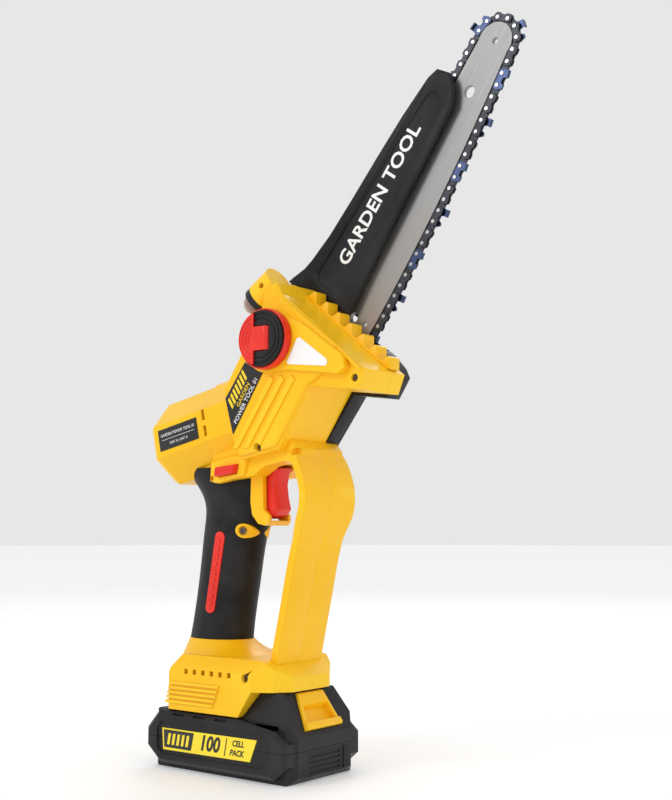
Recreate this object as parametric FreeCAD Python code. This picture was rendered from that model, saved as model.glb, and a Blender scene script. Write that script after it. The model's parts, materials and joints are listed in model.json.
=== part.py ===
import FreeCAD, Part
import math
import os

V = FreeCAD.Vector

# ---------------------------------------------------------------- driving dimensions (mm, degrees)
# Object frame: origin at the centre of the battery underside, +Z up, +X towards the guide bar side,
# -Y is the operator's right-hand side of the saw.
SPROCKET_X = 40.3
SPROCKET_Z = 226.7
BAR_ANGLE = 57.0
MOTOR_ANGLE = 12.0

HEAD_NEAR_Y = -29.5
PANEL_Y = -32.0
BOSS_Y = -34.5
HEAD_FAR_Y = 12.0
WALL = 2.5

MOTOR_HALF_WIDTH = 29.5
MOTOR_HALF_HEIGHT = 27.5
MOTOR_SIDE_FLAT = 10.5
MOTOR_TOP_FLAT = 12.0
MOTOR_REAR = -106.0

SKIN = 2.5

FOOT_HALF_WIDTH = 35.0
FOOT_BOTTOM = 36.5
FOOT_DECK = 70.5

BAR_Y = 16.6
BAR_THICKNESS = 3.0
BAR_NOSE_S = 249.0
BAR_NOSE_R = 11.3
BAR_GROOVE_WIDTH = 1.3
BAR_GROOVE_DEPTH = 4.5
RIVET_OFFSET = 2.9
RIVET_COUNT = 80
RIVET_R = 1.25
SPROCKET_CHAIN_R = 12.4
PLATE_THICKNESS = 1.0

GUARD_NEAR_Y = 8.8
GUARD_FAR_Y = 24.4
GUARD_WALL = 2.0
PIVOT_S = 55.6
PIVOT_T = 51.1
PIN_R = 1.8
EAR_NEAR_Y = -13.0

CAP_X = 43.5
CAP_Z = 264.0
CAP_R = 17.2

BATTERY_TOP = 51.5
BATTERY_SPLIT = 19.0
BODY_HALF_WIDTH = 31.0
CHEEK_HALF_WIDTH = 37.0
CELL_R = 9.1
CELL_LENGTH = 65.0
GAP = 0.1


# ---------------------------------------------------------------- frames and basic shapes
def turned(origin, angle, along, up):
    """Point (x, z) reached from origin by moving along and up in a frame turned by angle."""
    c = math.cos(math.radians(angle))
    s = math.sin(math.radians(angle))
    return origin[0] + along * c - up * s, origin[1] + along * s + up * c


def head(s, t):
    """Bar frame: s runs from the sprocket centre towards the bar nose, t towards the operator."""
    return turned((SPROCKET_X, SPROCKET_Z), BAR_ANGLE, s, t)


def barrel(a, b):
    """Motor frame: a runs along the motor axis (0 at the sprocket centre), b is upwards."""
    return turned((SPROCKET_X, SPROCKET_Z), MOTOR_ANGLE, a, b)


def direction(angle):
    """Unit vector in the XZ plane at the given angle above +X."""
    return V(math.cos(math.radians(angle)), 0, math.sin(math.radians(angle)))


def ring_of(points):
    """Closed wire through the given vectors."""
    return Part.makePolygon(points + [points[0]])


def prism(points, y0, y1):
    """Solid between y0 and y1 with an outline of (x, z) points."""
    face = Part.Face(ring_of([V(x, y0, z) for x, z in points]))
    return face.extrude(V(0, y1 - y0, 0))


def head_prism(points, y0, y1):
    """Solid between y0 and y1 with an outline of (s, t) points of the bar frame."""
    return prism([head(s, t) for s, t in points], y0, y1)


def barrel_prism(points, y0, y1):
    """Solid between y0 and y1 with an outline of (a, b) points of the motor frame."""
    return prism([barrel(a, b) for a, b in points], y0, y1)


def plan_prism(points, z0, z1):
    """Solid between z0 and z1 with an outline of (x, y) points."""
    return Part.Face(ring_of([V(x, y, z0) for x, y in points])).extrude(V(0, 0, z1 - z0))


def cross_prism(points, x0, x1):
    """Solid between x0 and x1 with an outline of (y, z) points."""
    return Part.Face(ring_of([V(x0, y, z) for y, z in points])).extrude(V(x1 - x0, 0, 0))


def block(x0, x1, y0, y1, z0, z1):
    return Part.makeBox(x1 - x0, y1 - y0, z1 - z0, V(x0, y0, z0))


def disc(x, z, radius, y0, y1):
    """Cylinder along Y."""
    return Part.makeCylinder(radius, y1 - y0, V(x, y0, z), V(0, 1, 0))


def head_disc(s, t, radius, y0, y1):
    x, z = head(s, t)
    return disc(x, z, radius, y0, y1)


def barrel_rod(radius, a0, a1):
    """Cylinder on the motor axis."""
    x, z = barrel(a0, 0)
    return Part.makeCylinder(radius, a1 - a0, V(x, 0, z), direction(MOTOR_ANGLE))


def pill(start, end, radius, y0, y1):
    """Rounded bar between two (x, z) points, extruded along Y."""
    dx = end[0] - start[0]
    dz = end[1] - start[1]
    length = math.hypot(dx, dz)
    nx = -dz / length * radius
    nz = dx / length * radius
    corners = [(start[0] + nx, start[1] + nz), (end[0] + nx, end[1] + nz),
               (end[0] - nx, end[1] - nz), (start[0] - nx, start[1] - nz)]
    body = prism(corners, y0, y1)
    return fuse([body, disc(start[0], start[1], radius, y0, y1), disc(end[0], end[1], radius, y0, y1)])


def fuse(shapes):
    """One solid out of overlapping shapes."""
    joined = shapes[0]
    if len(shapes) > 1:
        joined = shapes[0].fuse(shapes[1:])
    return joined.removeSplitter()


def cut(shape, tools):
    """Shape with every tool taken out of it."""
    return shape.cut(Part.makeCompound(tools))


def inset(points, distance):
    """Outline moved inwards by a distance, as (x, z) points."""
    wire = ring_of([V(x, z, 0) for x, z in points])
    moved = wire.makeOffset2D(-distance, 2)
    return [(v.Point.x, v.Point.y) for v in moved.OrderedVertexes]


def near_y(shape, y):
    """Edges of a shape that lie in the plane at y."""
    return [e for e in shape.Edges if all(abs(v.Point.y - y) < 1e-6 for v in e.Vertexes)]


def softened(shape, y_values, size):
    """Shape with the edges lying in the planes y_values chamfered."""
    edges = [e for y in y_values for e in near_y(shape, y)]
    return shape.makeChamfer(size, edges)


def oval(x, z, half_x, half_y):
    """Horizontal elliptical section of the grip."""
    return Part.Wire(Part.Ellipse(V(x, 0, z), half_x, half_y).toShape())


def mirrored(shape):
    """The same shape on the other side of the middle plane."""
    return shape.mirror(V(0, 0, 0), V(0, 1, 0))


def half(shape, side):
    """The part of a shape on the near side (-1) or the far side (+1) of the middle plane."""
    y0 = -100 if side < 0 else 0
    return shape.common(block(-200, 300, y0, y0 + 100, -50, 600))


def save(name, shape):
    """One node per file."""
    shape.exportStep("parts/" + name + ".step")


# ---------------------------------------------------------------- outlines shared by several pieces
HEAD_OUTLINE = [(39.0, -54.5), (51.5, -52), (60.0, 28), (64.5, 37), (55, 42), (40, 36.5), (-13, 38),
                (-36, 13), (-42, 1), (-21, -21.5), (23.5, -22.5)]
PANEL_OUTLINE = [(24.5, -21.5), (27, -24), (34, -27), (44, -30), (54.0, -30), (58.8, 26), (52, 35),
                 (-12, 36), (-34, 12.5), (-40, 1.5), (-20, -20)]
RIDGE_OUTLINE = [(49.5, -51.2), (51.0, -51.2), (54.6, -30), (52.0, -30)]
COVER_OUTLINE = [(-21, -22), (22.5, -25), (33.4, -48.0), (48.5, -48.0), (52, -42.5), (55.6, -29),
                 (55.6, 22), (50, 33), (-14, 34), (-24, 22), (-26, -12)]
GUARD_OUTLINE = [(62.6, 3.5), (92, 4.5), (150, 4.0), (206, 3.0), (214, 7.0), (219, 11.5), (221.5, 16),
                 (220.5, 26.0), (214, 29.5), (186, 34.8), (157, 38.8), (126, 42.6), (100, 46.2), (80, 50.8),
                 (71, 54.0), (62.6, 59.5)]
BOW_OUTER = [(39.6, 66), (41.5, 75), (49.0, 108), (56.0, 138), (60.2, 150), (63.8, 160), (64.8, 170),
             (62.0, 183), (54.5, 197)]
BOW_THICKNESS = 5.0


# ---------------------------------------------------------------- grip
def grip_body(shrink):
    """Lofted grip volume, shrunk all round."""
    sections = [(78, -25.4, 23.0, 17.5), (100, -21.6, 22.0, 17.2), (132, -16.3, 22.3, 17.5),
                (152, -12.5, 23.5, 17.8), (166, -10.0, 26.4, 18.2), (178, -12.5, 32.0, 19.0),
                (190, -15.5, 38.0, 20.0)]
    wires = [oval(x, z, a - shrink, b - shrink) for z, x, a, b in sections]
    return Part.makeLoft(wires, True)


def trigger_surround(grow):
    """Yellow guard wall that rises from the grip around the trigger."""
    outline = [(13.0 - grow, 196), (12.6 - grow, 166), (13.6 - grow, 158), (17 - grow, 152.5 - grow),
               (21, 151.3 - grow), (24.0, 153.8), (24.0, 157.5), (20.0, 161.5), (19.5, 184), (27, 188),
               (27, 196)]
    plan = [(-20, -17.0 - grow), (10, -17.0 - grow), (20, -11.5 - grow), (28, -9.0), (28, 9.0),
            (20, 11.5 + grow), (10, 17.0 + grow), (-20, 17.0 + grow)]
    return prism(outline, -18.0, 18.0).common(plan_prism(plan, 140, 200))


def belt(grow):
    """Yellow belt between the barrel, the grip and the root of the bow."""
    outline = [(-13 - grow, 178.5 - grow), (20, 182 - grow), (30, 188), (48, 191), (54, 200), (46, 204),
               (16, 203), (-14 - grow, 199)]
    return prism(outline, -22.0, 22.0)


def trigger_window():
    """Space in which the trigger slides, open to the front."""
    return block(0, 40, -8.3, 8.3, 154.5, 189.5)


def make_grip_skin(side):
    keep = block(-80, 60, -40, 40, 79.5, 188.5)
    skin = cut(grip_body(0).common(keep), [grip_body(SKIN), trigger_surround(0.3), belt(0.3),
                                           barrel_octagon(0.3, MOTOR_REAR, 0), screw_pillar(4.9),
                                           button_boss(), insert_pill(0.15), trigger_window()])
    return max(half(skin, side).Solids, key=lambda solid: solid.Volume)


def insert_pill(grow):
    """Long rounded cutter for the red inserts on both sides."""
    return pill((-11.5, 144.0), (-19.8, 99.5), 3.6 + grow, -40, 40)


def make_grip_inserts():
    strip = insert_pill(0).common(grip_body(-0.5)).cut(grip_body(SKIN - 0.1))
    beads = []
    for i in range(9):
        share = (i + 0.5) / 9
        beads.append(disc(-11.5 - 8.3 * share, 144.0 - 44.5 * share, 1.5, -19.0, 19.0))
    knobs = Part.makeCompound(beads).common(grip_body(-1.1).cut(grip_body(0.2)))
    joined = strip.fuse(list(knobs.Solids)).removeSplitter()
    return Part.makeCompound([s for s in joined.Solids if s.Volume > 20])


def screw_pillar(radius):
    """Pillar across the grip at the grip screw."""
    return disc(4.4, 148.0, radius, -25, 25)


def grip_screw_boss():
    """Yellow bezels of the grip screw, flush with the curved skin."""
    return screw_pillar(4.6).common(grip_body(-0.8))


# ---------------------------------------------------------------- motor barrel
def octagon_points(grow):
    w = MOTOR_HALF_WIDTH + grow
    h = MOTOR_HALF_HEIGHT + grow
    f = MOTOR_SIDE_FLAT
    g = MOTOR_TOP_FLAT
    return [(-w, -f), (-w, f), (-g, h), (g, h), (w, f), (w, -f), (g, -h), (-g, -h)]


def barrel_octagon(grow, a0, a1):
    """Octagonal tube volume along the motor axis."""
    points = []
    for y, b in octagon_points(grow):
        x, z = barrel(a0, b)
        points.append(V(x, y, z))
    return Part.Face(ring_of(points)).extrude(direction(MOTOR_ANGLE) * (a1 - a0))


def barrel_tail(grow, a0, length, shrink):
    """Tapered end of the octagonal barrel."""
    wires = []
    for offset, extra in ((0.0, grow - shrink), (length, grow)):
        points = []
        for y, b in octagon_points(extra):
            x, z = barrel(a0 + offset, b)
            points.append(V(x, y, z))
        wires.append(ring_of(points))
    return Part.makeLoft(wires, True, True)


def vent_slots():
    """Cooling slots at the joint of barrel and head and in the end of the barrel."""
    slots = []
    for y0, y1 in ((-36, -25), (25, 36)):
        for b in (1.0, 11.5):
            slots.append(barrel_prism([(-56.8, b - 8.2), (-54.4, b - 8.2), (-54.4, b - 1.4),
                                       (-56.8, b - 1.4)], y0, y1))
    for b in (-15, -9, -3, 3, 9, 15):
        slots.append(barrel_prism([(-112, b - 1.2), (-100, b - 1.2), (-100, b + 1.2), (-112, b + 1.2)],
                                  -14, 14))
    return slots


# ---------------------------------------------------------------- foot
def foot_body(shrink):
    """Foot of the handle, clamped on the battery."""
    low = FOOT_BOTTOM - (5 if shrink else 0)
    side = [(-42, low), (-42, 54), (-31, FOOT_DECK), (36, FOOT_DECK), (50, 60.5), (50, 52), (31.3, 52),
            (20.8, low)]
    if shrink:
        side = [(-42 + shrink, low), (-42 + shrink, 53), (-30, FOOT_DECK - shrink),
                (26, FOOT_DECK - shrink), (36, 66 - shrink), (28, 53), (18.0, low)]
    width = FOOT_HALF_WIDTH - shrink
    plan = [(-42, -width + 4), (-38, -width), (31, -width), (43, -27 + shrink), (50, -17), (50, 17),
            (43, 27 - shrink), (31, width), (-38, width), (-42, width - 4)]
    body = prism(side, -width, width).common(plan_prism(plan, 0, 100))
    slope = [(-width, low), (width, low), (width, 63), (width - 5, FOOT_DECK), (-width + 5, FOOT_DECK),
             (-width, 63)]
    return body.common(cross_prism(slope, -60, 60))


def foot_neck():
    """Flare between the foot deck and the grip."""
    low = Part.Wire(Part.Ellipse(V(-13, 0, FOOT_DECK - 1), 38.0, 29.0).toShape())
    middle = oval(-22.0, 74.0, 28.0, 22.0)
    top = oval(-25.2, 79.3, 23.2, 17.7)
    return Part.makeLoft([low, middle, top], True)


def foot_openings():
    """Battery channel, vents and screw holes of the foot."""
    tools = [block(-39, 60, -26.2, 26.2, 40.0, 47.5), block(-39, 60, -22.2, 22.2, 30, 41)]
    for i in range(6):
        x = -24.5 + 7.3 * i
        tools.append(block(x, x + 2.8, -40, 40, 59.2, 62.2))
    for y0, y1 in ((-40, -31.0), (31.0, 40)):
        tools.append(disc(26.5, 60.0, 2.6, y0, y1))
        tools.append(prism([(24.2, 61.0), (26.5, 57.4), (31.5, 65.0)], y0, y1))
    return tools


def foot_grips():
    """Ribbed finger panels on both sides of the foot."""
    ribs = []
    for i in range(5):
        z = 40.6 + 2.9 * i
        start = -40.0 + 0.8 * i
        end = 0.5 + 1.2 * i
        ribs.append(prism([(start, z), (end, z), (end + 0.8, z + 1.7), (start + 0.4, z + 1.7)],
                          -FOOT_HALF_WIDTH - 1.1, -FOOT_HALF_WIDTH + 0.5))
    return ribs + [mirrored(rib) for rib in ribs]


# ---------------------------------------------------------------- housing shells
def teardrop(grow, y0, y1):
    """Raised boss that carries the oil cap and the white inlay."""
    cap_s = 32.8
    cap_t = 17.4
    tip = head(45.5, -36.0)
    outline = [head(cap_s - 19.5 - grow, cap_t + 4), head(cap_s - 18.0 - grow, cap_t - 8), head(24.5, -5),
               head(41.0 - grow, -40.0), head(47 + grow, -43.0 - grow), head(52.0 + grow, -37.0),
               head(53.5 + grow, 0), head(cap_s + 17 + grow, cap_t + 8)]
    body = prism(outline, y0, y1)
    rim = head_disc(cap_s, cap_t, 20.0 + grow, y0, y1)
    return fuse([body, rim, disc(tip[0], tip[1], 6.0 + grow, y0, y1)])


def ear():
    """Lug of the guard hinge."""
    web = head_prism([(63.5, 36), (60.7, 51.5), (51.0, 53.5), (42, 36)], EAR_NEAR_Y, 7.5)
    return fuse([web, head_disc(PIVOT_S, PIVOT_T, 5.2, EAR_NEAR_Y, 7.5)])


def bulb_axis():
    """Base point and direction of the primer bulb."""
    return V(19.5, -14.0, 296.0), direction(213.0)


def bulb_boss():
    """Yellow seat of the primer bulb."""
    base, out = bulb_axis()
    return Part.makeCylinder(9.9, 17.0, base - out * 17, out)


def bulb_well():
    """Ring-shaped well that the bulb is pressed into."""
    base, out = bulb_axis()
    start = base - out * 5.5
    return Part.makeCylinder(8.3, 6.0, start, out).cut(Part.makeCylinder(6.2, 6.0, start, out))


def side_ribs():
    """Three long ribs beside the head label."""
    ribs = []
    for i in range(3):
        top = (14.5 + 4.2 * i, 4.0 - 7.2 * i)
        low = (-35.5 + 4.2 * i, 6.0 - 7.2 * i)
        ribs.append(head_prism([(top[0], top[1] + 1.9), (top[0] - 0.5, top[1] - 1.9),
                                (low[0], low[1] - 1.9), (low[0] - 2.5, low[1] + 1.9)],
                               PANEL_Y - 1.0, PANEL_Y + 1))
    return ribs


def button_boss():
    """Raised seat of the lock-off button on both sides."""
    outline = [(-15, 179.5), (-8, 178), (14, 182.5), (17, 192), (10, 196), (-14, 192)]
    return softened(prism(outline, -24.5, 24.5), (-24.5, 24.5), 1.0)


def housing_outer():
    """Outer volume of the whole housing without the bow."""
    head_block = softened(head_prism(HEAD_OUTLINE, HEAD_NEAR_Y, HEAD_FAR_Y), (HEAD_NEAR_Y,), 1.2)
    panel = softened(head_prism(PANEL_OUTLINE, PANEL_Y, -20), (PANEL_Y,), 1.2)
    core = grip_body(SKIN).common(block(-80, 60, -40, 40, 72, 192))
    volumes = [head_block, panel, head_prism(RIDGE_OUTLINE, PANEL_Y, -20), teardrop(0, BOSS_Y, -25),
               barrel_tail(0, MOTOR_REAR, 4, 3), barrel_octagon(0, MOTOR_REAR + 4, -20),
               barrel_octagon(0.9, -57.0, -30.0).common(block(-80, 22, -40, 40, 150, 300)),
               core, trigger_surround(0), belt(0), button_boss(), foot_body(0), foot_neck(), ear(),
               bulb_boss()]
    body = fuse(volumes)
    return fuse([body, grip_screw_boss()] + side_ribs() + foot_grips())


def housing_cavity():
    """Inner volume of the housing."""
    inner_head = prism(inset([head(s, t) for s, t in HEAD_OUTLINE], WALL), HEAD_NEAR_Y + WALL,
                       HEAD_FAR_Y - WALL)
    handle = grip_body(SKIN + WALL).common(block(-80, 60, -40, 40, 60, 180.3))
    return fuse([inner_head, barrel_octagon(-WALL, MOTOR_REAR + 4.5, -12), handle, foot_body(3.0).common(
        block(-60, 60, -40, 40, 47.4, 90)), neck_passage()])


def neck_passage():
    """Cable passage from the foot into the grip."""
    return Part.makeLoft([oval(-20, 64, 22, 14), oval(-25.2, 80, 18.0, 12.5)], True)


def housing_tools():
    """Everything cut through the walls of the housing."""
    x, z = head(PIVOT_S, PIVOT_T)
    tools = [trigger_window(), disc(x, z, PIN_R + 0.05, -60, 60),
             lock_button_body(0.3, -40, 40), disc(CAP_X, CAP_Z, 10.2, -60, -20),
             disc(SPROCKET_X, SPROCKET_Z, 9.2, 5, 20)]
    for s, t in ((43.7, -49.2), (-27.0, -9.0)):
        tools.append(head_disc(s, t, 2.4, -40, -26))
    tools.append(disc(4.4, 148.0, 3.0, -30, -12))
    tools.append(disc(4.4, 148.0, 3.0, 12, 30))
    tools.append(disc(-12.8, 181.2, 1.8, -30, -20))
    for s in (30, 44):
        tools.append(head_disc(s, 0, 4.05, 0, 20))
    tools.append(oil_pipe_volume(1.9))
    tools.append(bulb_well())
    return tools + vent_slots() + foot_openings()


def make_shell(side):
    shell = cut(housing_outer(), [housing_cavity()])
    shell = cut(shell, housing_tools())
    part = half(shell, side)
    solids = sorted(part.Solids, key=lambda solid: solid.Volume)
    return solids[-1]


# ---------------------------------------------------------------- bow
def bow_band():
    """Curved band between a smooth outer and a smooth inner line."""
    inner = []
    last = len(BOW_OUTER) - 1
    for i, (x, z) in enumerate(BOW_OUTER):
        before = BOW_OUTER[max(i - 1, 0)]
        after = BOW_OUTER[min(i + 1, last)]
        dx = after[0] - before[0]
        dz = after[1] - before[1]
        length = math.hypot(dx, dz)
        inner.append((x - dz / length * BOW_THICKNESS, z + dx / length * BOW_THICKNESS))
    lines = []
    for points in (BOW_OUTER, inner[::-1]):
        curve = Part.BSplineCurve()
        curve.interpolate([V(x, -25, z) for x, z in points])
        lines.append(curve.toShape())
    ends = [Part.makeLine(lines[0].Vertexes[-1].Point, lines[1].Vertexes[0].Point),
            Part.makeLine(lines[1].Vertexes[-1].Point, lines[0].Vertexes[0].Point)]
    wire = Part.Wire([lines[0], ends[0], lines[1], ends[1]])
    return Part.Face(wire).extrude(V(0, 50, 0))


def make_bow(side):
    """One half of the knuckle bow in front of the grip; wider above the knee."""
    plan = cross_prism([(-21.5, 60), (21.5, 60), (21.5, 143), (24.6, 156), (24.6, 190), (22.5, 210),
                        (-22.5, 210), (-24.6, 190), (-24.6, 156), (-21.5, 143)], 0, 100)
    top_root = prism([(48, 190.5), (58, 187.0), (56, 198), (50, 205), (44, 204)], -22.5, 22.5)
    bow = fuse([bow_band().common(plan), top_root])
    gap = [foot_body(0), head_prism(HEAD_OUTLINE, HEAD_NEAR_Y, HEAD_FAR_Y), belt(0),
           head_prism(COVER_OUTLINE, HEAD_FAR_Y, 27).fuse(block(44, 48, 12, 40, 198, 210)),
           disc(54.7, 196.0, 2.4, -30, -18)]
    return max(half(cut(bow, gap), side).Solids, key=lambda solid: solid.Volume)


# ---------------------------------------------------------------- trim on the housing
def make_bumper():
    """Seven spikes on the front wall, beside the bar."""
    strip = head_prism([(51.9, -48.0), (53.4, -48.0), (61.9, 32.0), (60.4, 32.0)], -2, 8)
    teeth = []
    for i in range(7):
        t = 31.0 - 12.05 * i
        s = 52.8 + (t + 48.0) * 0.1063
        teeth.append(head_prism([(s - 0.2, t + 0.4), (s + 5.4, t - 3.0), (s + 5.4, t - 4.8),
                                 (s - 0.9, t - 8.6)], -2, 8))
    return cut(fuse([strip] + teeth), [head_prism(HEAD_OUTLINE, HEAD_NEAR_Y, HEAD_FAR_Y)])


def make_head_label():
    outline = [(11.5, 29.0), (13.2, 12.5), (-31.0, 12.8), (-15.5, 30.8)]
    return head_prism(outline, PANEL_Y - 0.4, PANEL_Y)


def make_motor_label():
    return barrel_prism([(-98, -7.0), (-62.5, -7.0), (-62.5, 7.0), (-98, 7.0)],
                        -MOTOR_HALF_WIDTH - 0.4, -MOTOR_HALF_WIDTH)


def make_white_inlay():
    outline = [(45.8, -3.4), (44.6, -28.5), (43.2, -30.6), (40.8, -30.4), (28.2, -5.2), (28.4, -3.0),
               (44.0, -2.2)]
    return head_prism(outline, BOSS_Y - 0.4, BOSS_Y)


def make_housing_screws():
    """Pan-head screws sunk in the holes of the near half."""
    places = [head(43.7, -49.2), head(-27.0, -9.0), (4.4, 148.0), (26.5, 60.0)]
    depths = [-27.6, -29.0, -13.6, -32.6]
    screws = []
    for (x, z), y in zip(places, depths):
        top = disc(x, z, 2.2, y, y + 1.4)
        slot = block(x - 1.6, x + 1.6, y - 1, y + 0.6, z - 0.3, z + 0.3)
        cross = block(x - 0.3, x + 0.3, y - 1, y + 0.6, z - 1.6, z + 1.6)
        screws.append(cut(top, [slot, cross]))
    return Part.makeCompound(screws)


# ---------------------------------------------------------------- bar, chain and sprocket cover
def half_width(s):
    """Half width of the bar at a distance s along it: a parabola through three measured places."""
    knots = ((18.0, 9.5), (150.0, 15.0), (246.0, 11.2))
    total = 0.0
    for i, (si, hi) in enumerate(knots):
        term = hi
        for j, (sj, _) in enumerate(knots):
            if j != i:
                term *= (s - sj) / (si - sj)
        total += term
    return total


def bar_volume(shrink, y0, y1):
    """Bar outline with curved edges, shrunk all round."""
    def at(s, t):
        x, z = head(s, t)
        return V(x, y0, z)
    tail = 14.0 + shrink
    nose = BAR_NOSE_S + BAR_NOSE_R - shrink
    edges = [Part.Arc(at(18, half_width(18) - shrink), at(132, half_width(132) - shrink),
                      at(246, half_width(246) - shrink)),
             Part.Arc(at(246, half_width(246) - shrink), at(nose, 0), at(246, -half_width(246) + shrink)),
             Part.Arc(at(246, -half_width(246) + shrink), at(132, -half_width(132) + shrink),
                      at(18, -half_width(18) + shrink)),
             Part.Arc(at(18, -half_width(18) + shrink), at(tail, 0), at(18, half_width(18) - shrink))]
    wire = Part.Wire([edge.toShape() for edge in edges])
    return Part.Face(wire).extrude(V(0, y1 - y0, 0))


def make_guide_bar():
    y0 = BAR_Y - BAR_THICKNESS / 2
    y1 = BAR_Y + BAR_THICKNESS / 2
    ring = bar_volume(0, BAR_Y - BAR_GROOVE_WIDTH / 2, BAR_Y + BAR_GROOVE_WIDTH / 2).cut(
        bar_volume(BAR_GROOVE_DEPTH, 0, 40))
    slot = pill(head(28, 0), head(46, 0), 4.15, 0, 40)
    holes = [head_disc(BAR_NOSE_S, 0, 1.9, 0, 40), head_disc(216.5, 0.5, 3.8, 0, 40),
             head_disc(63.0, 3.8, 3.0, 0, 40), head_disc(63.0, -6.0, 1.6, 0, 40), slot]
    return cut(bar_volume(0, y0, y1), [ring] + holes)


def chain_path():
    """Dense points of the rivet line round bar and sprocket, clockwise from the sprocket."""
    points = []
    top = [(s, half_width(s) + RIVET_OFFSET) for s in range(18, 247, 4)]
    nose = []
    r = BAR_NOSE_R + RIVET_OFFSET
    for i in range(1, 24):
        angle = math.radians(84 - 7 * i)
        nose.append((BAR_NOSE_S + r * math.cos(angle), r * math.sin(angle)))
    points += top + nose + [(s, -t) for s, t in reversed(top)]
    for i in range(0, 19):
        angle = math.radians(270 - 10 * i)
        points.append((SPROCKET_CHAIN_R * math.cos(angle), SPROCKET_CHAIN_R * math.sin(angle)))
    return points


def rivet_places():
    """Evenly spaced rivet centres (s, t) along the chain path."""
    path = chain_path()
    path.append(path[0])
    lengths = [math.dist(path[i], path[i + 1]) for i in range(len(path) - 1)]
    step = sum(lengths) / RIVET_COUNT
    places = []
    walked = 0.0
    index = 0
    for k in range(RIVET_COUNT):
        target = k * step
        while walked + lengths[index] < target:
            walked += lengths[index]
            index += 1
        share = (target - walked) / lengths[index]
        p = path[index]
        q = path[index + 1]
        places.append((p[0] + (q[0] - p[0]) * share, p[1] + (q[1] - p[1]) * share))
    return places


def link_plate(p, q, outline, y0, y1):
    """Chain plate on two rivets; outline is (along, out) measured from the link middle."""
    along = (q[0] - p[0], q[1] - p[1])
    length = math.hypot(*along)
    u = (along[0] / length, along[1] / length)
    n = (-u[1], u[0])
    middle = ((p[0] + q[0]) / 2, (p[1] + q[1]) / 2)

    def place(a, b):
        x, z = head(middle[0] + u[0] * a + n[0] * b, middle[1] + u[1] * a + n[1] * b)
        return V(x, y0, z)

    wires = [ring_of([place(a, b) for a, b in outline])]
    for a in (-length / 2, length / 2):
        centre = place(a, 0)
        wires.append(Part.Wire(Part.makeCircle(RIVET_R + 0.05, centre, V(0, 1, 0))))
    face = Part.Face(wires[0]).cut(Part.makeCompound([Part.Face(w) for w in wires[1:]]))
    return face.Faces[0].extrude(V(0, y1 - y0, 0))


def strap_outline(pitch, waist):
    h = pitch / 2
    return [(-h - 2.6, -1.6), (-h - 2.6, 1.2), (-h - 1.3, 2.9), (-h + 1.2, 2.9), (-0.8, waist),
            (0.8, waist), (h - 1.2, 2.9), (h + 1.3, 2.9), (h + 2.6, 1.2), (h + 2.6, -1.6), (h + 1.6, -2.05),
            (-h - 1.6, -2.05)]


def cutter_outline(pitch):
    h = pitch / 2
    return [(-h - 2.6, -1.6), (-h - 2.9, 4.6), (-h + 1.0, 5.1), (-h + 2.4, 1.9), (h - 2.2, 1.9),
            (h - 1.0, 4.3), (h + 0.8, 4.5), (h + 2.6, 1.4), (h + 2.6, -1.6), (h + 1.6, -2.05),
            (-h - 1.6, -2.05)]


def drive_outline(pitch):
    h = pitch / 2
    return [(-h - 2.3, -1.2), (-h - 2.3, 1.2), (-h - 1.0, 2.3), (h + 1.0, 2.3), (h + 2.3, 1.2),
            (h + 2.3, -1.2), (h - 0.3, -2.6), (1.4, -5.6), (-0.4, -6.2), (-h + 0.9, -2.6)]


def top_plate(p, q, side):
    """Sharp roof of a cutter, leaning over its own side of the chain."""
    pitch = math.dist(p, q)
    back = -pitch / 2 - 2.9
    outline = [(back, 4.2), (back, 5.0), (back + 4.2, 5.6), (back + 4.6, 4.8)]
    inner = BAR_Y + side * 0.65
    outer = BAR_Y + side * 3.2
    low, high = min(inner, outer), max(inner, outer)
    along = ((q[0] - p[0]) / pitch, (q[1] - p[1]) / pitch)
    middle = ((p[0] + q[0]) / 2, (p[1] + q[1]) / 2)
    points = [head(middle[0] + along[0] * a - along[1] * b, middle[1] + along[1] * a + along[0] * b)
              for a, b in outline]
    return prism(points, low, high)


def make_chain():
    """Cutters, straps, drive links and rivets as four groups of solids."""
    places = rivet_places()
    cutters, straps, drives, rivets = [], [], [], []
    for j in range(RIVET_COUNT // 2):
        p = places[2 * j]
        q = places[2 * j + 1]
        following = places[(2 * j + 2) % RIVET_COUNT]
        pitch = math.dist(p, q)
        for side, phase in ((-1, 0), (1, 2)):
            inner = BAR_Y + side * 0.62
            outer = BAR_Y + side * (0.62 + PLATE_THICKNESS)
            low, high = min(inner, outer), max(inner, outer)
            if j % 4 == phase:
                plate = link_plate(p, q, cutter_outline(pitch), low, high)
                cutters.append(fuse([plate, top_plate(p, q, side)]))
            else:
                straps.append(link_plate(p, q, strap_outline(pitch, 2.0), low, high))
        gap = math.dist(q, following)
        drives.append(link_plate(q, following, drive_outline(gap), BAR_Y - 0.55, BAR_Y + 0.55))
    for s, t in places:
        rivets.append(head_disc(s, t, RIVET_R, BAR_Y - 2.0, BAR_Y + 2.0))
    return cutters, straps, drives, rivets


def make_sprocket_cover():
    """Black cover on the far side, open towards the bar."""
    outer = softened(head_prism(COVER_OUTLINE, HEAD_FAR_Y + GAP, 26.6), (26.6,), 1.5)
    inner = prism(inset([head(s, t) for s, t in COVER_OUTLINE], 2.2), HEAD_FAR_Y, 24.2)
    mouth = head_prism([(45, -26), (70, -26), (70, 31), (45, 31)], HEAD_FAR_Y, 24.2)
    tools = [inner, mouth, belt(0.2), barrel_octagon(1.0, MOTOR_REAR + 4, -19.8)]
    tools += [head_disc(s, 0, 4.1, 0, 40) for s in (30, 44)]
    for i in range(4):
        t = 24 - 5 * i
        tools.append(pill(head(-8, t), head(14 + 3 * i, t), 1.1, 25.6, 30))
    return cut(outer, tools)


def make_bar_studs():
    return Part.makeCompound([head_disc(s, 0, 4.0, 10.5, 33.0) for s in (30, 44)])


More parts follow.
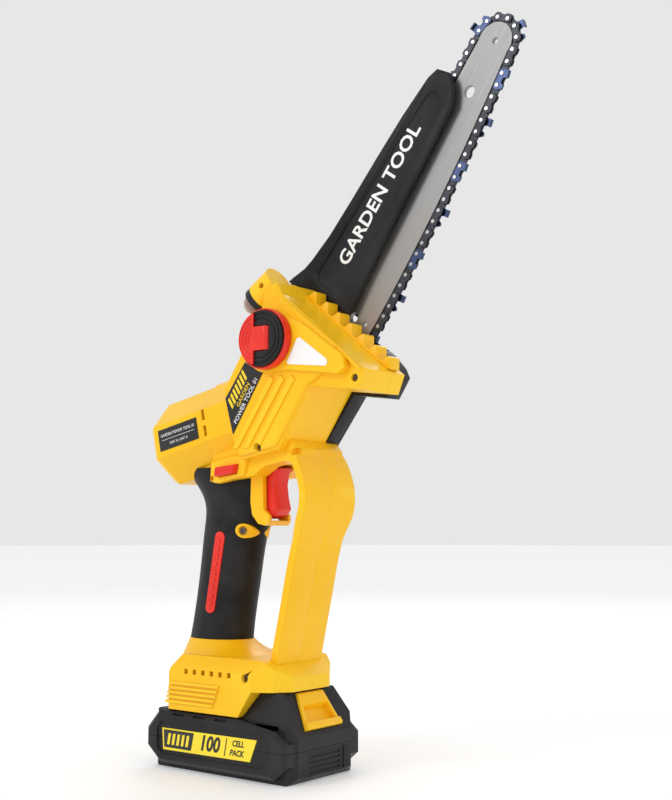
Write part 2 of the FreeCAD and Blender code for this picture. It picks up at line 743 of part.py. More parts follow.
def make_bar_nuts():
    nuts = []
    for s in (30, 44):
        x, z = head(s, 0)
        corners = [(x + 6.2 * math.cos(math.radians(60 * i)), z + 6.2 * math.sin(math.radians(60 * i)))
                   for i in range(6)]
        body = fuse([prism(corners, 27.9, 32.5), disc(x, z, 6.6, 26.7, 28.2)])
        nuts.append(cut(body, [disc(x, z, 4.05, 20, 40)]))
    return Part.makeCompound(nuts)


def make_sprocket():
    """Drive rim between two flanges, clear of the drive links."""
    star = []
    for i in range(10):
        r = 5.2 if i % 2 == 0 else 4.4
        angle = math.radians(36 * i)
        star.append((SPROCKET_X + r * math.cos(angle), SPROCKET_Z + r * math.sin(angle)))
    core = prism(star, BAR_Y - 2.6, BAR_Y + 2.6)
    flanges = [disc(SPROCKET_X, SPROCKET_Z, 11.0, BAR_Y - 3.6, BAR_Y - 2.5),
               disc(SPROCKET_X, SPROCKET_Z, 11.0, BAR_Y + 2.5, BAR_Y + 3.6)]
    return cut(fuse([core] + flanges), [disc(SPROCKET_X, SPROCKET_Z, 4.0, 0, 40)])


# ---------------------------------------------------------------- guard
def make_guard():
    """Hinged channel over the upper run of the chain."""
    shell = softened(head_prism(GUARD_OUTLINE, GUARD_NEAR_Y, GUARD_FAR_Y), (GUARD_NEAR_Y, GUARD_FAR_Y), 1.2)
    lobe = head_disc(PIVOT_S, PIVOT_T, 7.4, GUARD_NEAR_Y, GUARD_FAR_Y)
    neck = head_prism([(58, 42.5), (72, 36), (72, 53.0), (60, 60)], GUARD_NEAR_Y, GUARD_FAR_Y)
    inside = head_prism([(50, -10), (230, -10), (230, 24.2), (217, 25.0), (213, 27.4), (186, 32.6),
                         (157, 36.6), (126, 40.4), (100, 43.9), (80, 48.4), (74, 50.2), (68, 36), (50, 32)],
                        GUARD_NEAR_Y + GUARD_WALL, GUARD_FAR_Y - GUARD_WALL)
    recess = head_prism([(208.5, 18.5), (203.0, 9.5), (74.0, 13.5), (69.0, 17.5), (70.5, 36.0),
                         (75, 40.5), (200, 24.5), (206, 22.5)], GUARD_NEAR_Y - 1, GUARD_NEAR_Y + 0.7)
    pin_hole = head_disc(PIVOT_S, PIVOT_T, PIN_R + 0.05, 0, 40)
    head_corner = head_prism([(50, 26), (60.8, 26), (65.4, 37.2), (55, 42.6)], 0, HEAD_FAR_Y + 0.3)
    return cut(fuse([shell, lobe, neck]), [inside, recess, pin_hole, head_corner])


def make_guard_pin():
    """Screw pin through the ear and the guard."""
    shank = head_disc(PIVOT_S, PIVOT_T, PIN_R, EAR_NEAR_Y + 1.5, 25.0)
    top = head_disc(PIVOT_S, PIVOT_T, 3.4, 24.6, 27.0)
    x, z = head(PIVOT_S, PIVOT_T)
    slot = block(x - 1.4, x + 1.4, EAR_NEAR_Y, EAR_NEAR_Y + 2.3, z - 0.3, z + 0.3)
    return cut(fuse([shank, top]), [slot])


# ---------------------------------------------------------------- oil system
def flap_outline(grow):
    """Half-moon with a tab reaching over the cap centre."""
    moon = disc(CAP_X, CAP_Z, CAP_R - 0.6 + grow, -43.4, -37.0 + grow)
    moon = moon.common(block(CAP_X - 30, CAP_X - 5.0 + grow, -60, -30, CAP_Z - 30, CAP_Z + 30))
    tab = block(CAP_X - 6.0, CAP_X + 3.0, -43.4, -37.0 + grow, CAP_Z - 7.3 - grow, CAP_Z + 7.3 + grow)
    barrel_end = Part.makeCylinder(3.2 + grow, 14.6 + 2 * grow, V(CAP_X + 3.0, -40.2, CAP_Z - 7.3 - grow),
                                   V(0, 0, 1))
    return fuse([moon, tab, barrel_end])


def make_cap_flap():
    grooves = []
    for r in (5.0, 7.5, 10.0, 12.5):
        ring = disc(CAP_X - 3.0, CAP_Z, r + 0.5, -45, -42.9).cut(disc(CAP_X - 3.0, CAP_Z, r - 0.3, -46, -40))
        grooves.append(ring.common(block(CAP_X - 30, CAP_X - 6.5, -46, -40, CAP_Z - 30, CAP_Z + 30)))
    pin_hole = Part.makeCylinder(1.25, 40, V(CAP_X + 3.0, -40.2, CAP_Z - 20), V(0, 0, 1))
    return cut(flap_outline(0), grooves + [pin_hole])


def make_oil_cap():
    """Black cap body with the neck that seals in the tank."""
    body = fuse([disc(CAP_X, CAP_Z, CAP_R, -42.2, -34.7), disc(CAP_X, CAP_Z, 9.0, -35.5, -27.0)])
    rings = [disc(CAP_X, CAP_Z, r, -43.0, -41.6).cut(disc(CAP_X, CAP_Z, r - 1.0, -44, -40))
             for r in (15.6, 12.6)]
    well = fuse([flap_outline(0.5), block(CAP_X - 0.5, CAP_X + 7.0, -44, -36.3, CAP_Z - 7.8, CAP_Z + 7.8),
                 flap_outline(0.5).translated(V(0, -6, 0))])
    pin_hole = Part.makeCylinder(1.25, 19.2, V(CAP_X + 3.0, -40.2, CAP_Z - 9.6), V(0, 0, 1))
    return cut(body, rings + [well, pin_hole])


def make_cap_rim():
    """Red rim of the oil cap."""
    return cut(disc(CAP_X, CAP_Z, 18.6, -40.4, -34.7), [disc(CAP_X, CAP_Z, CAP_R, -50, -30)])


def make_flap_pin():
    return Part.makeCylinder(1.2, 19.0, V(CAP_X + 3.0, -40.2, CAP_Z - 9.5), V(0, 0, 1))


def make_cap_seal():
    ring = Part.makeTorus(9.0, 0.9, V(CAP_X, -31.0, CAP_Z), V(0, 1, 0))
    return cut(ring, [disc(CAP_X, CAP_Z, 9.02, -40, -20)])


def make_oil_tank():
    outline = [(27, 5), (50, -8), (56.0, 24), (50, 31), (27, 32)]
    outer = head_prism(outline, -26.5, -8)
    neck = disc(CAP_X, CAP_Z, 11.5, -26.9, -25)
    inner = prism(inset([head(s, t) for s, t in outline], 1.6), -24.9, -9.6)
    return cut(fuse([outer, neck]).cut(disc(CAP_X, CAP_Z, 10.1, -40, -24)), [inner])


def oil_pipe_volume(radius):
    """Straight pipe from the tank to the primer."""
    base, out = bulb_axis()
    start = base - out * 2.0
    end = V(40.5, -14.0, 286.9)
    return Part.makeCylinder(radius, (end - start).Length, start, end - start)


def make_oil_pipe():
    return oil_pipe_volume(1.6).cut(oil_pipe_volume(0.9))


def make_primer_bulb():
    """Rubber bulb: a short skirt closed by a half sphere, turned as one profile."""
    base, out = bulb_axis()

    def at(radius, height):
        return base + V(0, radius, 0) + out * height

    def dome(radius, height):
        """Quarter circle from the skirt to the axis."""
        slant = radius * math.sqrt(0.5)
        return Part.Arc(at(radius, height), at(slant, height + slant), at(0, height + radius)).toShape()

    skirt, shoulder = 0.6, 6.2
    outer, inner = 7.7, 6.7
    edges = [Part.makeLine(at(outer, skirt), at(outer, shoulder)), dome(outer, shoulder),
             Part.makeLine(at(0, shoulder + outer), at(0, shoulder + inner)), dome(inner, shoulder),
             Part.makeLine(at(inner, shoulder), at(inner, skirt)),
             Part.makeLine(at(inner, skirt), at(outer, skirt))]
    return Part.Face(Part.Wire(Part.__sortEdges__(edges))).revolve(base, out, 360)


def make_bulb_collar():
    base, out = bulb_axis()
    ring = Part.makeCylinder(9.6, 4.4, base + out * 0.1, out)
    return ring.cut(Part.makeCylinder(8.1, 10, base - out * 1, out))


def make_bulb_core():
    """Red inner piece of the primer, seen through the bulb."""
    base, out = bulb_axis()
    plate = Part.makeCylinder(5.8, 1.2, base + out * 0.1, out)
    stem = Part.makeCylinder(2.2, 4.0, base + out * 0.5, out)
    return fuse([plate, stem])


# ---------------------------------------------------------------- drive train
def make_motor_can():
    can = barrel_rod(23.0, -100, -52)
    tools = [barrel_rod(21.3, -98.5, -53.5), barrel_rod(3.4, -110, -40)]
    return cut(can, tools)


def make_rotor():
    return fuse([barrel_rod(3.0, -101, -13.2), barrel_rod(13.0, -94, -62), barrel_rod(8.0, -98, -95.5)])


def make_fan():
    hub = barrel_rod(8.0, -50, -42)
    disc_plate = barrel_rod(21.0, -44, -42.5)
    blades = []
    x, z = barrel(-44, 0)
    for i in range(11):
        blade = barrel_prism([(-49.5, 7), (-43.5, 7), (-43.5, 20.5), (-49.5, 20.5)], -0.6, 0.6)
        blades.append(blade.rotated(V(x, 0, z), direction(MOTOR_ANGLE), 360 * i / 11))
    return cut(fuse([hub, disc_plate] + blades), [barrel_rod(3.0, -60, -30)])


def bevel(centre, axis, radius, tip_radius, length, teeth):
    """Toothed cone with straight ridges."""
    cone = Part.makeCone(radius - 1.0, tip_radius - 0.6, length, centre, axis)
    side = V(0, 1, 0) if abs(axis.y) < 0.5 else V(1, 0, 0)
    ridges = []
    slope = (tip_radius - radius) / length
    for i in range(teeth):
        foot = side * (radius - 1.6)
        top = side * radius
        width = axis.cross(side) * 0.8
        low = [centre + foot - width, centre + foot + width, centre + top]
        move = axis * length + side * (slope * length)
        ridge = Part.makeLoft([ring_of(low), ring_of([point + move for point in low])], True, True)
        ridges.append(ridge.rotated(centre, axis, 360 * i / teeth))
    return fuse([cone] + ridges)


def make_pinion():
    x, z = barrel(-19.5, 0)
    gear = bevel(V(x, 0, z), direction(MOTOR_ANGLE), 5.6, 4.2, 6.0, 9)
    hub = barrel_rod(4.3, -25, -19.0)
    return cut(fuse([gear, hub]), [barrel_rod(3.0, -60, 0)])


def make_bevel_gear():
    gear = bevel(V(SPROCKET_X, -9.0, SPROCKET_Z), V(0, 1, 0), 16.4, 13.6, 3.0, 27)
    hub = disc(SPROCKET_X, SPROCKET_Z, 8.0, -13.0, -8.5)
    return cut(fuse([gear, hub]), [disc(SPROCKET_X, SPROCKET_Z, 4.0, -40, 40)])


def make_output_shaft():
    return fuse([disc(SPROCKET_X, SPROCKET_Z, 4.0, -21.0, 22.5),
                 disc(SPROCKET_X, SPROCKET_Z, 5.2, 21.0, 22.4)])


def make_bearings():
    """Two bearings of the output shaft and one at the front of the motor shaft."""
    rings = []
    for y0 in (-19.0, 5.5):
        rings.append(disc(SPROCKET_X, SPROCKET_Z, 8.9, y0, y0 + 5).cut(
            disc(SPROCKET_X, SPROCKET_Z, 4.05, -40, 40)))
    rings.append(barrel_rod(8.0, -38, -33).cut(barrel_rod(3.05, -60, 0)))
    return Part.makeCompound(rings)


def make_gear_case():
    """Cast case round the bevel gears, open towards the motor."""
    outer = fuse([disc(SPROCKET_X, SPROCKET_Z, 19.2, -21.5, 9.0), barrel_rod(11.0, -40, -15)])
    inner = fuse([disc(SPROCKET_X, SPROCKET_Z, 17.2, -13.6, 5.4), barrel_rod(8.05, -38.1, -10)])
    seats = [disc(SPROCKET_X, SPROCKET_Z, 8.95, -19.1, -10), disc(SPROCKET_X, SPROCKET_Z, 8.95, 4, 20),
             disc(SPROCKET_X, SPROCKET_Z, 4.4, -30, 0), barrel_rod(3.5, -60, -30)]
    return cut(outer, [inner] + seats)


# ---------------------------------------------------------------- controls
def lock_button_body(grow, y0, y1):
    centre = (1.2, 186.0)
    corners = []
    for a, b in ((-9.0, -2.6), (7.0, -3.2), (9.6, 2.0), (-7.2, 3.2)):
        x, z = turned(centre, 9.0, a * (1 + grow / 9), b * (1 + grow / 3))
        corners.append((x, z))
    return prism(corners, y0, y1)


def make_lock_button():
    return softened(lock_button_body(0, -29.0, 26.0), (-29.0, 26.0), 0.8)


def make_trigger():
    outline = [(12.5, 160), (14.5, 157), (19.5, 155.6), (25, 157.8), (28.0, 161.5), (26.0, 169),
               (25.0, 177), (26.4, 184), (28.5, 187.4), (18.5, 188.2), (17.8, 180), (12.5, 178)]
    body = softened(prism(outline, -7.6, 7.6), (-7.6, 7.6), 1.6)
    stem = Part.makeCylinder(2.5, 12.0, V(2.0, 0, 172), V(1, 0, 0))
    marks = [block(17.5, 18.3, -9, -7.2, 172 + 3 * i, 173.2 + 3 * i) for i in range(3)]
    return cut(fuse([body, stem]), marks)


def make_switch():
    body = block(-17, 4.6, -9, 9, 162, 180.1)
    return body.cut(Part.makeCylinder(3.0, 14.0, V(-6.5, 0, 172), V(1, 0, 0)))


def make_control_board():
    board = block(-34, 22, -24, 24, 56.0, 57.6)
    parts = [block(-30, -18, -18, -6, 57.6, 63), block(-10, 4, 4, 18, 57.6, 62)]
    parts += [Part.makeCylinder(4.0, 7.0, V(14, -14 + 12 * i, 57.6)) for i in range(3)]
    return fuse([board] + parts)


def make_terminal_block():
    """Moulded block with three blades that reach into the battery slots."""
    base = block(-38, -16, -14, 14, 48.0, 53.0)
    blades = [block(-36, -24, y - 0.5, y + 0.5, 42.5, 49) for y in (-8, 0, 8)]
    return fuse([base] + blades)


# ---------------------------------------------------------------- battery
def battery_volume():
    """Outer volume of the pack with its two side cheeks."""
    side = [(-50, 0), (56, 0), (60.5, 4), (60.5, 27), (58.5, 30.5), (46.5, BATTERY_TOP),
            (31.8, BATTERY_TOP), (21.2, 36), (-50, 36), (-54, 32), (-54, 4)]
    body = prism(side, -BODY_HALF_WIDTH, BODY_HALF_WIDTH)
    plan = [(-54, -28), (-51, -31), (55.5, -31), (60.5, -25.5), (60.5, 25.5), (55.5, 31), (-51, 31),
            (-54, 28)]
    section = [(-31, 0), (31, 0), (31, 36), (25.5, BATTERY_TOP), (-25.5, BATTERY_TOP), (-31, 36)]
    body = body.common(plan_prism(plan, -1, 60)).common(cross_prism(section, -60, 70))
    cheek_side = [(-46, 35.5), (-56.5, 24), (-56.5, 12.5), (-45, 3.0), (50, 3.0), (59.5, 11), (59.5, 24),
                  (51, 31.0), (20, 35.5)]
    cheeks = softened(prism(cheek_side, -CHEEK_HALF_WIDTH, CHEEK_HALF_WIDTH),
                      (-CHEEK_HALF_WIDTH, CHEEK_HALF_WIDTH), 2.6)
    return fuse([body, cheeks])


def cheek_tools():
    """Label seats and the dash slots along the cheeks."""
    tools = []
    for y0, y1 in ((-38, -CHEEK_HALF_WIDTH + 0.8), (CHEEK_HALF_WIDTH - 0.8, 38)):
        tools.append(prism([(-46, 25), (-41.5, 29.0), (42, 29.0), (48, 24), (48, 14.5), (42, 9.0),
                            (-41.5, 9.0), (-46, 13)], y0, y1))
    for i in range(3):
        x = -33 + 18 * i
        tools.append(block(x, x + 10, -38, -34.8, 33.2, 34.4))
        tools.append(block(x, x + 10, 34.8, 38, 33.2, 34.4))
    return tools


def front_tools():
    """Ribbed panel low on the front of the pack."""
    tools = [block(60.0, 62, -18.5, 18.5, 3.6, 17.4)]
    for i in range(4):
        z = 5.2 + 3.0 * i
        tools.append(block(59.4, 62, -15, 15, z, z + 1.2))
    return tools


def button_frame(along, out):
    """Point on the sloped front of the pack: along runs down the slope, out away from it."""
    return turned((46.5, BATTERY_TOP), -60.26, along, out)


def slope_prism(points, half_span):
    return prism([button_frame(a, o) for a, o in points], -half_span, half_span)


def slope_plate(start, end, top_half, low_half, low, high):
    """Trapezoid plate parallel to the sloped front, wider towards the bottom."""
    corners = []
    for along, y in ((start, -top_half), (end, -low_half), (end, low_half), (start, top_half)):
        x, z = button_frame(along, low)
        corners.append(V(x, y, z))
    x0, z0 = button_frame(0, 0)
    x1, z1 = button_frame(0, high - low)
    return Part.Face(ring_of(corners)).extrude(V(x1 - x0, 0, z1 - z0))


def make_battery_upper():
    volume = battery_volume().common(block(-80, 80, -50, 50, BATTERY_SPLIT + GAP, 60))
    neck = block(-38.6, 24, -21.7, 21.7, 34, 40.6)
    tower = block(-38.6, 30, -25.6, 25.6, 40.3, 46.6)
    front_limit = prism([(-60, 30), (22, 30), (34, BATTERY_TOP - 0.2), (-60, BATTERY_TOP - 0.2)], -40, 40)
    volume = fuse([volume, neck.common(front_limit), tower.common(front_limit)])
    cells = block(-49, 50, -33.6, 33.6, 5, 33.5)
    wedge = prism([(24, 20), (36, 48.5), (43.0, 48.5), (52.0, 33), (52, 20)], -23, 23)
    slots = [block(-41, -18, y - 1.3, y + 1.3, 41.0, 47) for y in (-8, 0, 8)]
    pocket = slope_plate(0.9, 25.2, 12.4, 17.4, -10, 6)
    return cut(volume, [cells, wedge, pocket] + slots + cheek_tools() + front_tools())


def make_battery_lower():
    volume = battery_volume().common(block(-80, 80, -50, 50, -1, BATTERY_SPLIT - GAP))
    cells = block(-49, 50, -33.6, 33.6, 2.5, 30)
    feet = [block(-42, 42, -27, -24, -1, 0.6), block(-42, 42, 24, 27, -1, 0.6)]
    return cut(volume, [cells] + feet + cheek_tools() + front_tools())


def make_cells():
    cells = []
    for i in range(5):
        x = -38 + 19 * i
        cells.append(fuse([Part.makeCylinder(CELL_R, CELL_LENGTH, V(x, -CELL_LENGTH / 2, 13.0), V(0, 1, 0)),
                           Part.makeCylinder(3.0, CELL_LENGTH + 1.2, V(x, -CELL_LENGTH / 2 - 0.6, 13.0),
                                             V(0, 1, 0))]))
    return Part.makeCompound(cells)


def make_battery_board():
    board = block(-40, 30, -26, 26, 26.0, 27.6)
    return fuse([board, block(-36, -20, -16, -4, 27.6, 31.5), block(0, 12, 2, 16, 27.6, 31)])


def make_contacts():
    """Spring contacts inside the tower slots."""
    clips = []
    for y in (-8, 0, 8):
        clips.append(block(-32, -27, y - 1.25, y - 0.75, 41.2, 45.5))
        clips.append(block(-32, -27, y + 0.75, y + 1.25, 41.2, 45.5))
    return Part.makeCompound(clips)


def make_battery_labels():
    outline = [(-41.5, 24.8), (38.0, 25.2), (32.6, 12.0), (-40.5, 11.6)]
    label = prism(outline, -CHEEK_HALF_WIDTH + 0.3, -CHEEK_HALF_WIDTH + 0.8)
    return Part.makeCompound([label, mirrored(label)])


def make_release_button():
    """Push button on the front slope with a finger scoop and a lower lip."""
    outline = [(1.3, -5.5), (1.3, 0.6), (2.3, 1.6), (9.6, 1.6), (11.6, -2.8), (19.6, -2.4), (20.8, 3.0),
               (23.8, 3.0), (24.8, 1.8), (24.8, -5.5)]
    rim = [(1.3, -5.5), (1.3, 0.6), (2.3, 1.6), (20.4, 1.6), (20.8, 3.0), (23.8, 3.0), (24.8, 1.8),
           (24.8, -5.5)]
    plate = slope_plate(1.3, 24.8, 12.0, 17.0, -5.5, 3.2)
    middle = slope_plate(0, 26.0, 9.5, 14.6, -8, 6)
    body = plate.common(slope_prism(outline, 20))
    sides = plate.common(slope_prism(rim, 20)).cut(middle)
    return fuse([body, sides])


# ---------------------------------------------------------------- export
def export_all():
    os.makedirs("parts", exist_ok=True)
    for name, side in (("right", -1), ("left", 1)):
        save(name + "_shell", make_shell(side))
        save("bow_" + name, make_bow(side))
        save("grip_skin_" + name, make_grip_skin(side))
    cutters, straps, drives, rivets = make_chain()
    save("chain_cutters", Part.makeCompound(cutters))
    save("chain_straps", Part.makeCompound(straps))
    save("chain_drive_links", Part.makeCompound(drives))
    save("chain_rivets", Part.makeCompound(rivets))
    builders = {
        "grip_inserts": make_grip_inserts, "spiked_bumper": make_bumper, "head_label": make_head_label,
        "motor_label": make_motor_label, "white_inlay": make_white_inlay,
        "housing_screws": make_housing_screws, "guide_bar": make_guide_bar,
        "sprocket_cover": make_sprocket_cover, "bar_studs": make_bar_studs, "bar_nuts": make_bar_nuts,
        "drive_sprocket": make_sprocket, "guard": make_guard, "guard_pin": make_guard_pin,
        "oil_cap": make_oil_cap, "cap_rim": make_cap_rim, "cap_flap": make_cap_flap,
        "flap_pin": make_flap_pin, "cap_seal": make_cap_seal, "oil_tank": make_oil_tank,
        "oil_pipe": make_oil_pipe, "primer_bulb": make_primer_bulb, "bulb_collar": make_bulb_collar,
        "bulb_core": make_bulb_core, "motor_can": make_motor_can, "rotor": make_rotor,
        "cooling_fan": make_fan, "pinion": make_pinion, "bevel_gear": make_bevel_gear,
        "output_shaft": make_output_shaft, "bearings": make_bearings, "gear_case": make_gear_case,
        "lock_button": make_lock_button, "trigger": make_trigger, "switch_body": make_switch,
        "control_board": make_control_board, "terminal_block": make_terminal_block,
        "battery_upper": make_battery_upper, "battery_lower": make_battery_lower,
        "battery_cells": make_cells, "battery_board": make_battery_board,
        "battery_contacts": make_contacts, "battery_labels": make_battery_labels,
        "release_button": make_release_button,
    }
    for name, make in builders.items():
        save(name, make())


export_all()
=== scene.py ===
"""Looks of the cordless pruning chainsaw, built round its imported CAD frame."""

import json
import logging
import math
from dataclasses import dataclass, field
from enum import Enum
from typing import Any, Callable, Optional, Union

import bpy
from mathutils import Matrix, Vector

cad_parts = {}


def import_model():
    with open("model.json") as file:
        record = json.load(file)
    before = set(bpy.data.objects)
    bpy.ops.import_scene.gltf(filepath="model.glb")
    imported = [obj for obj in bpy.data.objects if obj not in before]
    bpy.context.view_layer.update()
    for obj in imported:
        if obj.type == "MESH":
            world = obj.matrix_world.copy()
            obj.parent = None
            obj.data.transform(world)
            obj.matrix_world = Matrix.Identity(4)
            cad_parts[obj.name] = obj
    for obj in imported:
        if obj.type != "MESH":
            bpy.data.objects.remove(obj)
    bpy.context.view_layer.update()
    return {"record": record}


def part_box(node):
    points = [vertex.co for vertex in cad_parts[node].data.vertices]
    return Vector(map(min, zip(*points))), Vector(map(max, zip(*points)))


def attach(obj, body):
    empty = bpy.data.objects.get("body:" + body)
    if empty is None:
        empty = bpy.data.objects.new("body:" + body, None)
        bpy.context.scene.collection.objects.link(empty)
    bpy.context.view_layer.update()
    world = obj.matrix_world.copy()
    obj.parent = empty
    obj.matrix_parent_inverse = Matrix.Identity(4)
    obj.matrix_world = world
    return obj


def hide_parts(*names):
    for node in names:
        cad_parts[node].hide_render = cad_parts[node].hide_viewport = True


LOG = logging.getLogger("chainsaw")
MM = 0.001
BAR_ANGLE = 57.0
MOTOR_ANGLE = 12.0
SPROCKET = (40.3, 226.7)
NOISE_LOW = 0.3
NOISE_HIGH = 0.7
TEXT_SIZE_PER_LETTER_HEIGHT = 1.4
MERGE_DISTANCE = 0.000004
FLAT_ANGLE = 0.6
ROUNDED_ANGLE = 28.0
SMOOTH_ANGLE = 40.0

Colour = tuple[float, float, float]


# ---------------------------------------------------------------- places
def turned(origin: tuple[float, float], angle: float, along: float, up: float) -> tuple[float, float]:
    """Point reached in a frame turned about Y.

    Args:
        origin: x and z of the frame's origin, in millimetres.
        angle: turn above +X, in degrees.
        along: distance along the turned first axis.
        up: distance along the turned second axis.

    Returns:
        x and z in millimetres.
    """
    c = math.cos(math.radians(angle))
    s = math.sin(math.radians(angle))
    return origin[0] + along * c - up * s, origin[1] + along * s + up * c


def reading_frame(angle: float) -> tuple[Vector, Vector]:
    """Reading direction and up direction of a label turned in the X-Z plane.

    Args:
        angle: turn of the reading direction above +X, in degrees.

    Returns:
        The two unit vectors.
    """
    right = Vector((math.cos(math.radians(angle)), 0, math.sin(math.radians(angle))))
    return right, Vector((-right.z, 0, right.x))


def place_matrix(x: float, y: float, z: float, right: Vector, up: Vector) -> Matrix:
    """Matrix that lays a flat piece on a face.

    Args:
        x: place along X, in millimetres.
        y: place along Y, in millimetres.
        z: place along Z, in millimetres.
        right: direction that the piece's own +X takes.
        up: direction that the piece's own +Y takes.

    Returns:
        The 4x4 matrix in metres.
    """
    a = right.normalized()
    b = up.normalized()
    c = a.cross(b)
    rows = [(a[i], b[i], c[i], v * MM) for i, v in enumerate((x, y, z))]
    return Matrix(rows + [(0, 0, 0, 1)])


# ---------------------------------------------------------------- shader graph
class Signal:
    """A node socket that takes part in Python arithmetic."""

    def __init__(self, graph: "Graph", socket: bpy.types.NodeSocket) -> None:
        """Wraps one output socket of a graph."""
        self.graph = graph
        self.socket = socket

    def _maths(self, operation: str, first: Any, second: Any) -> "Signal":
        """Adds one Math node and returns its output."""
        return self.graph.node("ShaderNodeMath", {"operation": operation}, {0: first, 1: second})

    def __add__(self, other: Any) -> "Signal":
        """Sum."""
        return self._maths("ADD", self, other)

    __radd__ = __add__

    def __mul__(self, other: Any) -> "Signal":
        """Product."""
        return self._maths("MULTIPLY", self, other)

    __rmul__ = __mul__


class Graph:
    """Node tree of one material, with short calls for the nodes that the finishes use."""

    def __init__(self, name: str) -> None:
        """Starts an empty material with a Principled shader."""
        self.material = bpy.data.materials.new(name)
        self.material.use_nodes = True
        self.tree = self.material.node_tree
        self.shader = next(n for n in self.tree.nodes if n.type == "BSDF_PRINCIPLED")
        self.coordinates = Signal(self, self.tree.nodes.new("ShaderNodeTexCoord").outputs["Object"])

    def node(self, kind: str, settings: Optional[dict[str, Any]] = None,
             values: Optional[dict[Any, Any]] = None, output: Union[int, str] = 0) -> Signal:
        """Adds any node.

        Args:
            kind: the node's type name.
            settings: properties to set first.
            values: numbers, colours or signals for the node's input sockets.
            output: which output to return.

        Returns:
            The chosen output as a signal.
        """
        made = self.tree.nodes.new(kind)
        for key, value in (settings or {}).items():
            setattr(made, key, value)
        for key, value in (values or {}).items():
            self.feed(made.inputs[key], value)
        return Signal(self, made.outputs[output])

    def feed(self, socket: bpy.types.NodeSocket, value: Any) -> None:
        """Links a signal to a socket, or sets a constant on it.

        Args:
            socket: the input socket.
            value: a signal, a number or a colour.
        """
        if isinstance(value, Signal):
            self.tree.links.new(value.socket, socket)
        elif isinstance(value, tuple) and len(value) == 3 and socket.type == "RGBA":
            socket.default_value = (*value, 1.0)
        else:
            socket.default_value = value

    def set(self, **values: Any) -> None:
        """Sets or links shader inputs; words are joined by underscores, as in Base_Color."""
        for key, value in values.items():
            self.feed(self.shader.inputs[key.replace("_", " ")], value)

    def noise(self, scale: float, detail: float = 2.0, stretch: Optional[tuple] = None,
              turn: tuple = (0.0, 0.0, 0.0)) -> Signal:
        """Noise on object coordinates.

        Args:
            scale: spots per metre.
            detail: number of octaves.
            stretch: optional scale of each axis, for brushed or drawn patterns.
            turn: rotation in radians that goes with the stretch.

        Returns:
            The noise value, about 0.5 on average.
        """
        where = self.coordinates
        if stretch is not None:
            where = self.node("ShaderNodeMapping", {"vector_type": "TEXTURE"},
                              {"Vector": where, "Rotation": turn,
                               "Scale": tuple(1.0 / s for s in stretch)})
        return self.node("ShaderNodeTexNoise", None,
                         {"Vector": where, "Scale": scale, "Detail": detail})

    def mix(self, share: Any, first: Any, second: Any) -> Signal:
        """Colour between two colours."""
        return self.node("ShaderNodeMix", {"data_type": "RGBA"}, {0: share, 6: first, 7: second}, 2)

    def range(self, value: Signal, low: float, high: float, to_low: float = 0.0,
              to_high: float = 1.0) -> Signal:
        """Clamped linear range of a value.

        Args:
            value: the value to map.
            low: value that gives to_low.
            high: value that gives to_high.
            to_low: lower end of the result.
            to_high: upper end of the result.

        Returns:
            The mapped value.
        """
        return self.node("ShaderNodeMapRange", None,
                         {0: value, 1: low, 2: high, 3: to_low, 4: to_high})

    def vary(self, noise: Signal, low: float, high: float) -> Signal:
        """Spreads a noise over a span of values."""
        return self.range(noise, NOISE_LOW, NOISE_HIGH, low, high)

    def bump(self, height: Signal, distance: float, strength: float = 1.0,
             round_edge: float = 0.0004) -> Signal:
        """Bump normal out of a height value, over softly rounded edges.

        Args:
            height: the height pattern.
            distance: its depth in metres.
            strength: share of it that shows.
            round_edge: radius of the soft edges in metres.

        Returns:
            The normal for the shader.
        """
        edge = self.node("ShaderNodeBevel", {"samples": 6}, {"Radius": round_edge})
        return self.node("ShaderNodeBump", None,
                         {"Height": height, "Distance": distance, "Strength": strength,
                          "Normal": edge})

    def edges(self) -> Signal:
        """Mask that is high on convex edges, for wear."""
        point = self.node("ShaderNodeNewGeometry", None, None, "Pointiness")
        return self.range(point, 0.52, 0.62)


# ---------------------------------------------------------------- finishes
@dataclass(frozen=True)
class Moulded:
    """Injection-moulded plastic with fine grain and slight handling marks."""

    name: str
    colour: Colour
    roughness: float = 0.35
    grain: float = 0.00002
    grain_scale: float = 2600.0
    lift: float = 0.12
    coat: float = 0.0
    shine: float = 0.3
    round_edge: float = 0.0006
    cloud_scale: float = 14.0
    mark_scale: float = 170.0
    wear_share: float = 0.45
    coat_roughness: float = 0.12

    def build(self) -> bpy.types.Material:
        """Makes the material."""
        g = Graph(self.name)
        clouds = g.noise(self.cloud_scale, 3.0)
        marks = g.noise(self.mark_scale, 4.0)
        wear = g.edges()
        light = tuple(min(1.0, c * (1 + self.lift) + 0.01) for c in self.colour)
        dark = tuple(c * (1 - self.lift) for c in self.colour)
        tone = g.mix(g.range(clouds, 0.35, 0.65), dark, light)
        pale = tuple(min(1.0, c * 1.25 + 0.03) for c in self.colour)
        g.set(Base_Color=g.mix(wear * self.wear_share, tone, pale),
              Roughness=g.vary(marks, self.roughness - 0.06, self.roughness + 0.1),
              Normal=g.bump(g.noise(self.grain_scale, 2.0), self.grain, 1.0, self.round_edge))
        g.shader.inputs["Coat Weight"].default_value = self.coat
        g.shader.inputs["Coat Roughness"].default_value = self.coat_roughness
        g.shader.inputs["Specular IOR Level"].default_value = self.shine
        return g.material


